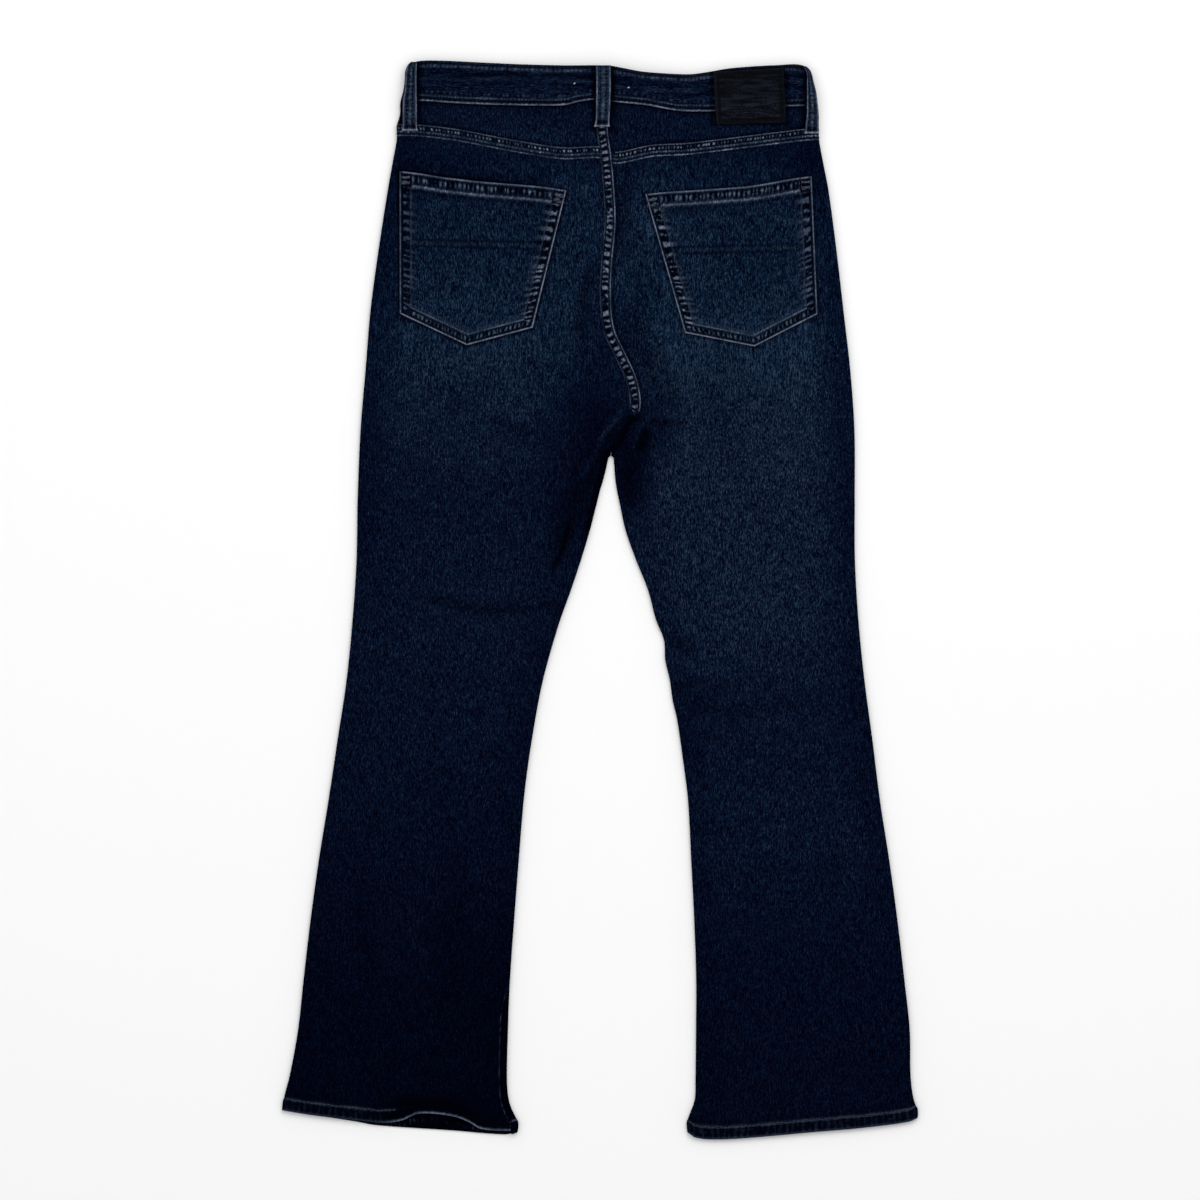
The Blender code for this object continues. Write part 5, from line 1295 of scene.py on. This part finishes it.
def makePocket(side):
    outerTop, innerTop, innerLow, point, outerLow = pocket[side]
    width, height = pocketSize(side)
    seed = pocket["seed"][side]
    across, down = pocketShares(width)[::inwardSign[side]], pocketShares(height)

    def place(column, row):
        u, v = across[column], down[row]
        x, y = pocketAt(side, u, v)
        fromTop = v * np.hypot(*(pocketAt(side, u, 0 * v + 1) - pocketAt(side, u, 0 * v)))
        fromSide = np.minimum(fromLine(outerTop, outerLow, x, y), fromLine(innerTop, innerLow, x, y))
        fromLow = np.minimum(fromLine(innerLow, point, x, y), fromLine(point, outerLow, x, y))
        edge = np.minimum(fromSide, fromLow)
        onSide, onInner = fromSide < fromLow, u > 0.5
        along = np.where(onSide, v * height + 0.3 * onInner, u * width + 0.7)

        # where each part of it lies
        turned = ease(edge, pocket["turning"] + 0.0006, pocket["turning"] - 0.0006)
        inTop = ease(fromTop, pocket["topHem"] + 0.0006, pocket["topHem"] - 0.0006)
        below = 1 - inTop
        lowBetween = within(edge, 0.0034, 0.0046, 0.0070, 0.0084)
        between = np.where(onSide, within(edge, 0.0032, 0.0044, 0.0096, 0.0112), lowBetween) * below
        beyond = within(edge, 0.0108, 0.0122, 0.0135, 0.0200) * onSide * below
        topBetween = within(fromTop, 0.0026, 0.0040, 0.0098, 0.0116) * ease(fromSide, 0.0118, 0.0126)
        corner = within(fromSide, 0.0016, 0.0026, 0.0102, 0.0112)
        corner = corner * within(fromTop, 0.0024, 0.0032, 0.0132, 0.0140)
        inField = ease(fromSide, 0.0105, 0.0125)
        outerRow = bell(edge - 0.0029, 0.0010)
        innerAt = np.where(onSide, pocket["turning"], pocket["lowRow"])
        innerRow = bell(edge - innerAt, np.where(onSide, 0.0011, 0.0009)) * below
        topRows = bell(fromTop - 0.0030, 0.0006) + bell(fromTop - 0.0120, 0.0007)
        fromCorner = outerTop[1] - y - pocket["rowsSlant"] * u
        rows = sum(bell(fromCorner - down, 0.0011) for down in pocket["rowsDown"]) * inField
        rowRidge = bell(fromCorner - sum(pocket["rowsDown"]) / 2, 0.0014) * inField

        # puckers, and how strong they are along each edge
        outerTicks, (outerLight, innerLight) = pocket["ticks"][side], pocket["edgeLight"][side]
        strong = np.where(onSide, np.where(onInner, 1.0, outerTicks), 0.75)
        edgeLight = np.where(onSide, np.where(onInner, innerLight, outerLight), 1.0)
        upper, lower, sparse = (strokes(along, edge, 0.0115, seed + more, period)
                                for more, period in ((0, 0.0086), (0, 0.0058), (10, 0.0052)))
        rope = np.where(onSide, np.where(v < 0.55, upper, lower), np.clip(sparse - 0.25, -1, 1))
        topRope = ropeAcross(x, fromTop, (1.2, seed + 1, 0.0047), (0.5, seed + 2, 0.0150),
                             (0.5, seed, 0.0018))
        dots = ribs(x, seed + 3, 0.0028)
        waver = fromTop + 0.0011 * speckle(x, y, 0.0023, seed + 16)
        stripes = ease(np.cos((waver - 0.0056) * 2 * math.pi / 0.0056), -0.4, 0.7)
        grainy = 0.75 + 0.25 * speckle(x, y, 0.0020, seed + 11)

        sag = np.sin(u * math.pi) * np.sin(v * math.pi)
        full = rounded(np.minimum(edge, fromTop), 0.0012)
        thick = mix(0.0004, pocket["middle"] + 0.0005 * np.maximum(turned, inTop), full)
        z = topHeight(x, y) + thick + pocket["sag"] * sag
        z += pocket["pucker"] * (rope * between + 0.45 * topRope * topBetween)
        z -= 0.0002 * (outerRow + innerRow + topRows) + 0.00025 * rows

        wear = 1.10 * bell(edge - 0.0008, 0.0008) * patchy(along, seed + 4, 0.65)
        wear = wear * (0.88 + 0.12 * ribs(along, seed + 14, 0.006)) * edgeLight
        wear += innerRow * np.where(onSide, 0.24 + 0.14 * dots, 0.70) * patchy(along, seed + 5, 0.4)
        topEdge = bell(fromTop - 0.0008 - 0.0004 * dots, 0.0012) * (edge > 0.002)
        lineAt = pocket["topLine"][side] + 0.0005 * ribs(x, seed + 15, 0.0060)
        topLine = bell(fromTop - lineAt, 0.0017) * (fromSide > 0.0118) * (0.75 + 0.25 * dots) * grainy
        wear += 0.72 * topEdge * patchy(x, seed + 6, 0.6) + 1.05 * topLine * patchy(x, seed + 7, 0.6)
        wear += between * ease(rope, -0.1, 0.8) * grainy * mix(0.10, 0.78, strong)
        wear += topBetween * ease(topRope, 0.0, 0.7) * bell(fromTop - 0.0068, 0.0026) * grainy * 0.80
        wear += 0.62 * corner * stripes * grainy
        wear += 0.34 * bell(fromSide - 0.0130, 0.0007) * within(fromTop, 0.002, 0.004, 0.0110, 0.0125)
        wear += 0.05 * rowRidge + beyond * ease(rope, -0.3, 0.9) * 0.36 * (0.4 + 0.6 * strong) * grainy
        wear += 0.13 * bell(edge - 0.0132, 0.0014) * below * ~onSide

        # painted shade in the pucker hollows, the grooves of the stitches, between the bar tacks' threads
        # and below the top hem
        dark = between * mix(0.75, 0.97, strong) * ease(rope, 0.6, -0.4)
        dark += topBetween * 0.92 * ease(topRope * bell(fromTop - 0.0068, 0.0032), 0.35, -0.35)
        dark += corner * (1 - stripes) * 1.3 + 1.1 * bell(fromSide - 0.0117, 0.0009) * inTop
        dark += 0.90 * outerRow + 0.90 * bell(fromTop - 0.0034, 0.0011) * (0.75 - 0.25 * dots)
        dark += 0.55 * bell(fromTop - 0.0118, 0.0009) + 0.55 * bell(fromTop - 0.0178, 0.0020)
        dark += 0.95 * bell(edge - 0.0088, 0.0008) * below * ~onSide
        dark += 0.1125 * bell(edge - 0.0140, 0.0018) * below * onSide
        dark += 0.50 * beyond * ease(rope, 0.1, -0.8) * strong
        dark += rows * (0.72 - 0.30 * ribs(x, seed + 9, 0.0034))
        wear = np.clip(wear, 0, 1)
        dark = np.clip(dark, 0, 1) * (1 - 0.8 * np.clip(wear * 1.4, 0, 1))
        return x, y, z, wear, dark, toneAt(x, y) + 0.05 * sag

    return makeCloth(f"pocket_{side}", f"back_pocket_{side}", place, len(across) - 1, len(down) - 1,
                     legDenim, pocket["cloth"])


loops = {
    # name: (CAD node, (level, left edge, right edge) from the top down)
    "loop_left": ("belt_loop_left", (
        (0.5380, -0.1890, -0.1828), (0.5350, -0.1922, -0.1829), (0.5300, -0.1940, -0.1831),
        (0.5200, -0.1948, -0.1832), (0.5080, -0.1957, -0.1830), (0.5000, -0.1972, -0.1828),
        (0.4750, -0.1976, -0.1826), (0.4688, -0.1980, -0.1820))),
    "loop_rear": ("belt_loop_back", (
        (0.5345, -0.0043, 0.0110), (0.5150, -0.0041, 0.0112), (0.4950, -0.0043, 0.0106),
        (0.4800, -0.0047, 0.0098), (0.4728, -0.0062, 0.0098))),
    "loop_right": ("belt_loop_right", (
        (0.5335, 0.2030, 0.2064), (0.5300, 0.2052, 0.2100), (0.5250, 0.2070, 0.2122),
        (0.5175, 0.2068, 0.2139), (0.5080, 0.2067, 0.2162), (0.4965, 0.2067, 0.2178),
        (0.4845, 0.2064, 0.2188), (0.4755, 0.2054, 0.2188), (0.4660, 0.2046, 0.2191))),
}
loopShape = {
    "width": 0.0150,
    "rise": 0.0023,
    "bow": 0.0010,
    "pitch": 0.0008,
    "columns": 20,
    "cloth": 0.0014,
    "seed": {"loop_left": 71, "loop_rear": 74, "loop_right": 77},
    "rows": (0.307, 0.693),     # where across it both rows of stitches run
    "overSide": 0.0042,         # how far the right one drops where it goes over the side
    "frontFromCentre": 0.0950,
    "frontBelow": 0.0265,       # the front ones end this far below the waistband
    "frontAcross": (-1, -0.9, -0.6, -0.3, 0, 0.3, 0.6, 0.9, 1),
    "frontPitch": 0.0020,
}


def loopEdges(edges, y):     # its left and right edge at a level
    return through(edges, y, 1), through(edges, y, 2)


def loopHeight(name, x, y):     # its outer face, without what its own edges and threads do to it
    edges = loops[name][1]
    topY, lowY = edges[0][0], edges[-1][0]
    left, right = loopEdges(edges, y)
    bow = loopShape["bow"] * np.sin(math.pi * (topY - y) / (topY - lowY)) ** 2
    height = onWaist((left + right) / 2, y) + loopShape["rise"] + bow
    drop = ease(x, right - 0.0055, right + 0.0015) * ease(right, 0.2040, 0.2120) * (name == "loop_right")
    return height - loopShape["overSide"] * drop


def onWaist(x, y, bridge=0.010):     # outer face of the band, then a slope down to the yoke
    drop = ease(y, level("band", x) - 0.001, level("band", x) - bridge)
    across = ease(y, level("yoke", x) + 0.0215, level("yoke", x) + 0.0115) * felled["rise"]
    down = ease(abs(x - seatSeamX(y) + 0.0057), 0.014, 0.008) * felled["rise"]
    over = mix(band["extra"], np.maximum(across, down), drop)
    return topHeight(x, y) + over


def makeLoop(name):
    node, edges = loops[name]
    topY, lowY = edges[0][0], edges[-1][0]
    levels = spaced(topY, lowY, loopShape["pitch"])
    seed, width, columns = loopShape["seed"][name], loopShape["width"], loopShape["columns"]

    def place(column, row):
        y, u = levels[row], closer(column / columns)
        left, right = loopEdges(edges, y)
        x = mix(left, right, u)
        edge, fromTop, fromLow = np.minimum(u, 1 - u) * width, topY - y, y - lowY
        q = abs(u - 0.5) * width
        furrow = bell(q - 0.0029, 0.0009)
        ticks = ribs(y, seed, 0.0034)
        full = np.minimum(rounded(edge, 0.0011), rounded(np.minimum(fromTop, fromLow), 0.0012))
        z = loopHeight(name, x, y) - loopShape["rise"] * (1 - full) + 0.0002
        z += 0.00018 * ticks * ease(q, 0.0060, 0.0030) - 0.00025 * furrow
        bar = bell(fromLow - 0.0046, 0.0026) * ease(edge, 0.0012, 0.0026)
        wear = 0.74 * bell(edge - 0.0011, 0.0009) * patchy(y, seed + 1, 0.7)
        wear += 0.90 * bell(fromLow - 0.0011, 0.0010)
        wear += bell(q, 0.0016) * (0.22 + 0.16 * ribs(y, seed + 2, 0.006))
        worn = np.clip(0.5 + ticks + speckle(x, y, 0.0018, seed), 0, 1)
        wear += 0.19 * ease(edge, 0.0016, 0.0034) * worn
        # painted shade in the furrows, near the folded lower end and at the top where it turns over, plus
        # random dark specks
        dark = furrow * (0.62 - 0.38 * ticks) + 0.75 * bar + 0.5 * ease(fromTop, 0.0020, 0.0004)
        dark += 0.35 * np.clip(-speckle(x, y, 0.0019, seed + 3), 0, 1)
        dark = dark * (1 - 0.7 * np.clip(wear, 0, 1))
        wear = wear * (1 - 0.55 * bar) * mix(0.7, 1, ease(fromTop, 0.0008, 0.0030))
        return x, y, z, wear, dark, toneAt(x, y) + 0.55

    return makeCloth(name, node, place, columns, len(levels) - 1, loopDenim, loopShape["cloth"],
                     slot="worn_denim")


def makeFrontLoop(side):
    middle = lie["centreFront"] - inwardSign[side] * loopShape["frontFromCentre"]
    top = level("waist", middle) - band["frontDrop"] - 0.0006
    low = level("frontBand", middle) - loopShape["frontBelow"]
    half = loopShape["width"] / 2
    across = np.array(loopShape["frontAcross"]) * half
    levels = spaced(top, low, loopShape["frontPitch"])

    def place(column, row):
        q, y = across[column], levels[row]
        edge = np.minimum(half - abs(q), np.minimum(top - y, y - low))
        z = lie["frontUp"] + 0.0005 * ease(edge, 0.0009, 0)
        return middle + q, y, z, 0.4 * ease(edge, 0.0012, 0), 0 * q, toneAt(middle + q, y) + 0.4

    return makeCloth(f"loop_fore_{side}", f"belt_loop_front_{side}", place, len(across) - 1,
                     len(levels) - 1, loopDenim, loopShape["cloth"], outwards=False, slot="worn_denim")


patch = {
    "corners": ((0.1128, 0.5283), (0.1838, 0.5325), (0.1864, 0.4768), (0.1160, 0.4752)),    # clockwise
    "size": (0.0710, 0.0550),
    "grid": (66, 52),
    "cloth": 0.0011,
    "rise": 0.001425,       # over the waistband
    "drop": 0.0008,         # where it reaches below it
    "border": 0.0042,
    "row": 0.0058,          # its stitches, in from each corner
    "wrinkles": (       # level, width, height, waves a metre
        (0.5130, 0.0016, 1.0, 130), (0.5065, 0.0012, -0.8, 95), (0.5010, 0.0018, 1.0, 150),
        (0.4930, 0.0014, 0.7, 110), (0.5190, 0.0013, -0.6, 140), (0.4860, 0.0016, -0.5, 120),
    ),
}


def patchDrop(x, y):
    return patch["drop"] * ease(y, level("band", x) + 0.002, level("band", x) - 0.011)


def makePatch():
    topLeft, topRight, lowRight, lowLeft = (np.array(corner) for corner in patch["corners"])
    width, height = patch["size"]
    columns, rows = patch["grid"]

    def place(column, row):
        u, v = closer(column / columns), closer(row / rows)
        top = topLeft + (topRight - topLeft) * u[:, None]
        low = lowLeft + (lowRight - lowLeft) * u[:, None]
        x, y = (top + (low - top) * v[:, None]).T
        edge = np.minimum(np.minimum(u, 1 - u) * width, np.minimum(v, 1 - v) * height)
        wander = 0.0012 * np.sin(x * 190) + 0.0008 * np.sin(x * 420 + 1)
        wrinkle = sum(size * bell(y - at - wander, thin) * (0.6 + 0.4 * np.sin(x * bend))
                      for at, thin, size, bend in patch["wrinkles"])
        inField = ease(edge, patch["border"], patch["border"] + 0.003)
        thick = mix(0.0006, band["extra"] + patch["rise"], rounded(edge, 0.0012))
        z = topHeight(x, y) + thick - patchDrop(x, y)
        z += 0.00028 * wrinkle * inField - 0.0003 * bell(edge - patch["border"], 0.0007)
        wear = 0.16 * bell(edge - 0.0008, 0.0008) * patchy(x + y, 81, 0.2)
        wear += 0.06 * inField * np.clip(wrinkle, 0, 1) + 0.10 * bell(u * width - 0.0020, 0.0008)
        # painted shade along the groove of its stitches, at its border and in the wrinkle hollows
        dark = 1.10 * bell(edge - 0.0050, 0.0011) * (0.75 - 0.25 * ribs(x - y, 82, 0.0040))
        dark += 0.40 * ease(edge, patch["border"] + 0.001, 0.0016) + inField * np.clip(-wrinkle, 0, 1)
        tone = 0.05 + 0.20 * inField + 0.30 * inField * ease(y - 0.3 * (x - 0.15), 0.5150, 0.4860)
        return x, y, z, wear, dark, tone

    return makeCloth("backPatch", "waist_patch", place, columns, rows, leatherFinish(), patch["cloth"],
                     slot="black_patch")


thread = {"length": 0.0027, "gap": 0.0008, "thick": 0.00030, "stand": 0.00008, "sunk": 0.0001}


def sewRows(name, rows, finish, **size):
    # Each row is (points as (x, y), function that gives the surface's height). One short bead a stitch.
    length, gap, thick = (size.get(key, thread[key]) for key in ("length", "gap", "thick"))
    bm = bmesh.new()
    mesh = bpy.data.meshes.new(name)
    for points, surface in rows:
        at, line, tangent = walk(points, length + gap)
        z = surface(line[:, 0], line[:, 1]) + thread["stand"]
        slopes = np.gradient(z, at)
        row = bmesh.new()
        for (x, y), (tx, ty), height, slope in zip(line, tangent, z, slopes):
            turn = Vector((tx, ty, slope)).to_track_quat("X", "Z").to_matrix().to_4x4()
            shape = Matrix.Diagonal((length / 2, thick, thick, 1)) @ Matrix.Rotation(math.pi / 2, 4, "Y")
            bmesh.ops.create_uvsphere(row, u_segments=6, v_segments=4, radius=1,
                                      matrix=Matrix.Translation((x, y, height)) @ turn @ shape)
        row.to_mesh(mesh)
        row.free()
        bm.from_mesh(mesh)
    for face in bm.faces:
        face.smooth = True
    bm.to_mesh(mesh)
    bm.free()
    mesh.materials.append(finish)
    piece = bpy.data.objects.new(name, mesh)
    scene.collection.objects.link(piece)
    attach(piece, "root")


def shifted(points, by):     # a polyline moved square to itself
    _, line, tangent = walk(points, 0.001)
    return line + np.column_stack([-tangent[:, 1], tangent[:, 0]]) * by


def pocketLine(side, inset, fromTop):     # down one side, round the point and up the other
    corners = pocket[side]
    width, height = pocketSize(side)
    left, right = inset / width, 1 - inset / width * 1.04     # the inner side is longer and slants
    top, low = fromTop / height, 1 - inset / (height * 0.93)
    share = (corners[3][0] - corners[4][0]) / (corners[2][0] - corners[4][0])
    across = np.r_[np.full(60, left), np.linspace(left, share, 20)[1:], np.linspace(share, right, 20)[1:],
                   np.full(59, right)]
    down = np.r_[np.linspace(top, low, 60), np.full(38, low), np.linspace(low, top, 60)[1:]]
    return np.column_stack(pocketAt(side, across, down))


def pocketSurface(x, y):
    return topHeight(x, y) + pocket["rise"]


def pocketRow(side, down, inset=0.004, straight=False):     # a row across a pocket
    outerTop = pocket[side][0]
    width, height = pocketSize(side)
    u = np.linspace(inset / width, 1 - inset / width, 60)
    x, y = pocketAt(side, u, np.full(60, down / height))
    if straight:
        x, y = np.linspace(x[0], x[-1], 60), outerTop[1] - down - pocket["rowsSlant"] * u
    return np.column_stack([x, y])


def acrossWaist(curve, offset, start, end, count=200):     # a row beside a curve of the outline
    x = np.linspace(start, end, count)
    return np.column_stack([x, level(curve, x) + offset])


def sagged(side):     # the middle of a pocket, which is single cloth and a little slack
    outer, inner = pocket[side][0][0], pocket[side][1][0]

    def surface(x, y):
        u = np.clip((x - outer) / (inner - outer), 0, 1)
        return topHeight(x, y) + pocket["middle"] + pocket["sag"] * np.sin(u * math.pi) * 0.95
    return surface


def frontSurface(x, y):
    return frontLift(x, y) - 0.0002


def sewPockets():
    dark, tacks, decoration = [], [], []
    for side, sign in inwardSign.items():
        for inset, fromTop in zip(pocket["rows"], (0.002, 0.015)):
            dark.append((pocketLine(side, inset, fromTop), pocketSurface))
        for down in pocket["topRows"]:
            dark.append((pocketRow(side, down), pocketSurface))
        for down in pocket["rowsDown"]:
            decoration.append((pocketRow(side, down, 0.0145, straight=True), sagged(side)))
        for (cornerX, cornerY), inwards in zip(pocket[side][:2], (sign, -sign)):
            for drop in pocket["tacks"]:
                x = cornerX + inwards * np.linspace(0.0024, 0.0104, 14)
                y = cornerY - drop + 0.0009 * np.where(np.arange(14) % 2, 1, -1)     # zigzag
                tacks.append((np.column_stack([x, y]), pocketSurface))
    sewRows("sewing_pockets", dark, darkThread)
    sewRows("sewing_pocketRows", decoration, darkThread, thick=0.00038)
    sewRows("sewing_pocketTacks", tacks, greyThread, length=0.0016, gap=0.0001, thick=0.00026)


def sewSeams():
    rows = []
    for name in felled["rows"]:
        line, direction = seamLine(name)
        for off in felled["rows"][name]:
            rows.append((shifted(line, direction * off / 1000),
                         lambda x, y: backSurface(x, y) + felled["rise"] - thread["sunk"]))
    sewRows("sewing_seams", rows, darkThread)


def sewWaist():
    rows = []
    for start, end in ((-0.1800, -0.0050), (0.0110, 0.1125), (0.1870, 0.2010)):     # between the loops
        rows.append((acrossWaist("waist", -band["topRow"], start, end), bandSurface))
        rows.append((acrossWaist("band", band["lowRow"], start, end), bandSurface))
    sewRows("sewing_waistband", rows, darkThread, length=0.0022, gap=0.0009)

    rows = []
    for name, (_, edges) in loops.items():
        y = mix(edges[0][0], edges[-1][0], np.linspace(0.05, 0.95, 40))
        for share in loopShape["rows"]:
            rows.append((np.column_stack([mix(*loopEdges(edges, y), share), y]),
                         lambda x, y, name=name: loopHeight(name, x, y) - thread["sunk"]))
    sewRows("sewing_loops", rows, darkThread, length=0.0020, gap=0.0009, thick=0.00032)

    corners = np.array(patch["corners"])
    inwards = corners.mean(axis=0) - corners
    inner = corners + inwards / np.hypot(*inwards.T)[:, None] * patch["row"]
    rows = [(np.vstack([inner, inner[:1]]),
             lambda x, y: topHeight(x, y) + band["extra"] + patch["rise"] - 0.0002 - patchDrop(x, y))]
    sewRows("sewing_patch", rows, darkThread, length=0.0030, thick=0.00040)


def sewHems():
    rows = []
    for curve, start, end in (("hemLeftBack", -0.3120, -0.2060), ("hemRight", 0.0900, 0.3140)):
        x = np.linspace(start, end, 240)
        rows.append((np.column_stack([x, level(curve, x) + 0.0124 + 0.0006 * ribs(x, 17, 0.0130)]),
                     lambda x, y: topHeight(x, y) - thread["sunk"]))
    sewRows("sewing_hems", rows, blueThread, length=0.0040, gap=0.0001, thick=0.00062)


def sewFront():
    rows = []
    down = np.linspace(0, 1, 60)     # the fly's curved rows
    flyX = lie["centreFront"] - 0.0380 * np.cos(np.clip(down * 1.6 - 0.6, 0, 1) * math.pi / 2)
    for off in (0, 0.0060):
        rows.append((np.column_stack([flyX + off, mix(0.4880, 0.3600, down)]), frontSurface))
    for side, sign in inwardSign.items():
        edge = outerX(side, lie["hip"])
        x = edge + sign * np.linspace(0.012, frontLeg["scoopWidth"], 60)
        for off in (0.0025, 0.0085):     # along the pocket mouth
            line = np.column_stack([x, level("frontBand", x) - scoopDrop(side, x) - off])
            rows.append((line, frontSurface))
        for off in (0.0030, 0.0330):     # along the waistband
            line = acrossWaist("frontBand", off, edge + sign * 0.010, lie["centreFront"], 100)
            rows.append((line, frontSurface))
        start, end = outerX(side, lie["shin"]) + sign * 0.007, gapX(side, lie["shin"]) - sign * 0.007
        line = acrossWaist(hemOf(side, "front"), 0.0119, start, end, 80)
        rows.append((line, lambda x, y: 0 * x + 0.0002))
    sewRows("sewing_front", rows, mauveThread)


def sewTacks():     # two loose white ends on the waistband
    rows = [(np.array(ends), bandSurface) for ends in (((-0.0259, 0.5162), (-0.0251, 0.5166)),
                                                       ((0.0282, 0.5121), (0.0290, 0.5124)))]
    sewRows("sewing_tacks", rows, whiteThread, length=0.0010, gap=0.0002, thick=0.0007)


pieces = {}
for side in ("left", "right"):
    pieces["back", side] = makeBackLeg(side)
    pieces["front", side] = makeFrontLeg(side)
    pieces["hemBack", side] = makeHem(side, "back")
    pieces["hemFront", side] = makeHem(side, "front")
    print("leg made:", side)
for side in ("left", "right"):
    pieces["yoke", side] = makeYoke(side)
    pieces["pocket", side] = makePocket(side)
    pieces["bandFront", side] = makeBandFront(side)
    pieces["hip", side] = makeHipPiece(side)
    pieces["frontLoop", side] = makeFrontLoop(side)
for name in ("seat", "left", "right"):
    pieces["seam", name] = makeFelledSeam(name)
pieces["bandBack"] = makeBandBack()
for name in loops:
    pieces[name] = makeLoop(name)
pieces["patch"] = makePatch()
print("cloth made")
for sew in (sewPockets, sewSeams, sewWaist, sewHems, sewFront, sewTacks):
    sew()
print("sewing made")

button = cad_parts["button"]
button.data.materials.clear()
button.data.materials.append(metalFinish())

for side in ("left", "right"):
    extra = [pieces["hemBack", side]] + ([pieces["seam", "seat"]] if side == "left" else [])

studio = {
    "floorColour": (0.97, 0.97, 0.97),
    "floorLow": -0.0004,
    "skyStrength": 0.69,
    "photoWidth": 1.200,        # metres of floor across the photograph's frame
    "lens": 480.0,
    "sensor": 36.0,
    "aim": (0.0000, 0.0000, 0.0040),
    "lamps": (
        # place, size, watts
        ((0.9, 1.5, 2.6), 2.2, 34.0),
        ((-1.6, 0.6, 2.4), 2.4, 12.0),
    ),
}


def makeFloor():
    bm = bmesh.new()
    bmesh.ops.create_grid(bm, x_segments=1, y_segments=1, size=6)
    bmesh.ops.translate(bm, verts=bm.verts, vec=(0, 0, studio["floorLow"]))
    mesh = bpy.data.meshes.new("floor")
    bm.to_mesh(mesh)
    bm.free()
    made = Finish("floorPaper", roughness=0.9, specular=0.1)
    grain = made.noise((60, 60, 60), 3)
    pale = studio["floorColour"]
    made.feed(made.shader.inputs["Base Color"],
              made.blend(grain, tuple(0.99 * part for part in pale), pale))
    mesh.materials.append(made.material)
    floor = bpy.data.objects.new("floor", mesh)
    scene.collection.objects.link(floor)


def makeLights():
    world = bpy.data.worlds.new("studio")
    scene.world = world
    world.use_nodes = True
    sky = world.node_tree.nodes["Background"]
    sky.inputs["Color"].default_value = (1, 1, 1, 1)
    sky.inputs["Strength"].default_value = studio["skyStrength"]
    for i, (place, size, watts) in enumerate(studio["lamps"]):
        light = bpy.data.lights.new(f"softbox_{i}", "AREA")
        light.shape, light.size, light.energy = "SQUARE", size, watts
        lamp = bpy.data.objects.new(light.name, light)
        lamp.location = place
        lamp.rotation_euler = Vector(place).to_track_quat("Z", "Y").to_euler()
        scene.collection.objects.link(lamp)


def makeCamera():
    camera = bpy.data.cameras.new("camera")
    camera.lens, camera.sensor_width = studio["lens"], studio["sensor"]
    camera.clip_end = 40
    aim = Vector(studio["aim"])
    shot = bpy.data.objects.new("camera", camera)
    shot.location = aim + Vector((0, 0, studio["photoWidth"] * studio["lens"] / studio["sensor"]))
    scene.collection.objects.link(shot)
    scene.camera = shot
    scene.view_settings.view_transform = "Standard"


makeFloor()
makeLights()
makeCamera()
print("studio made")

bpy.context.view_layer.update()
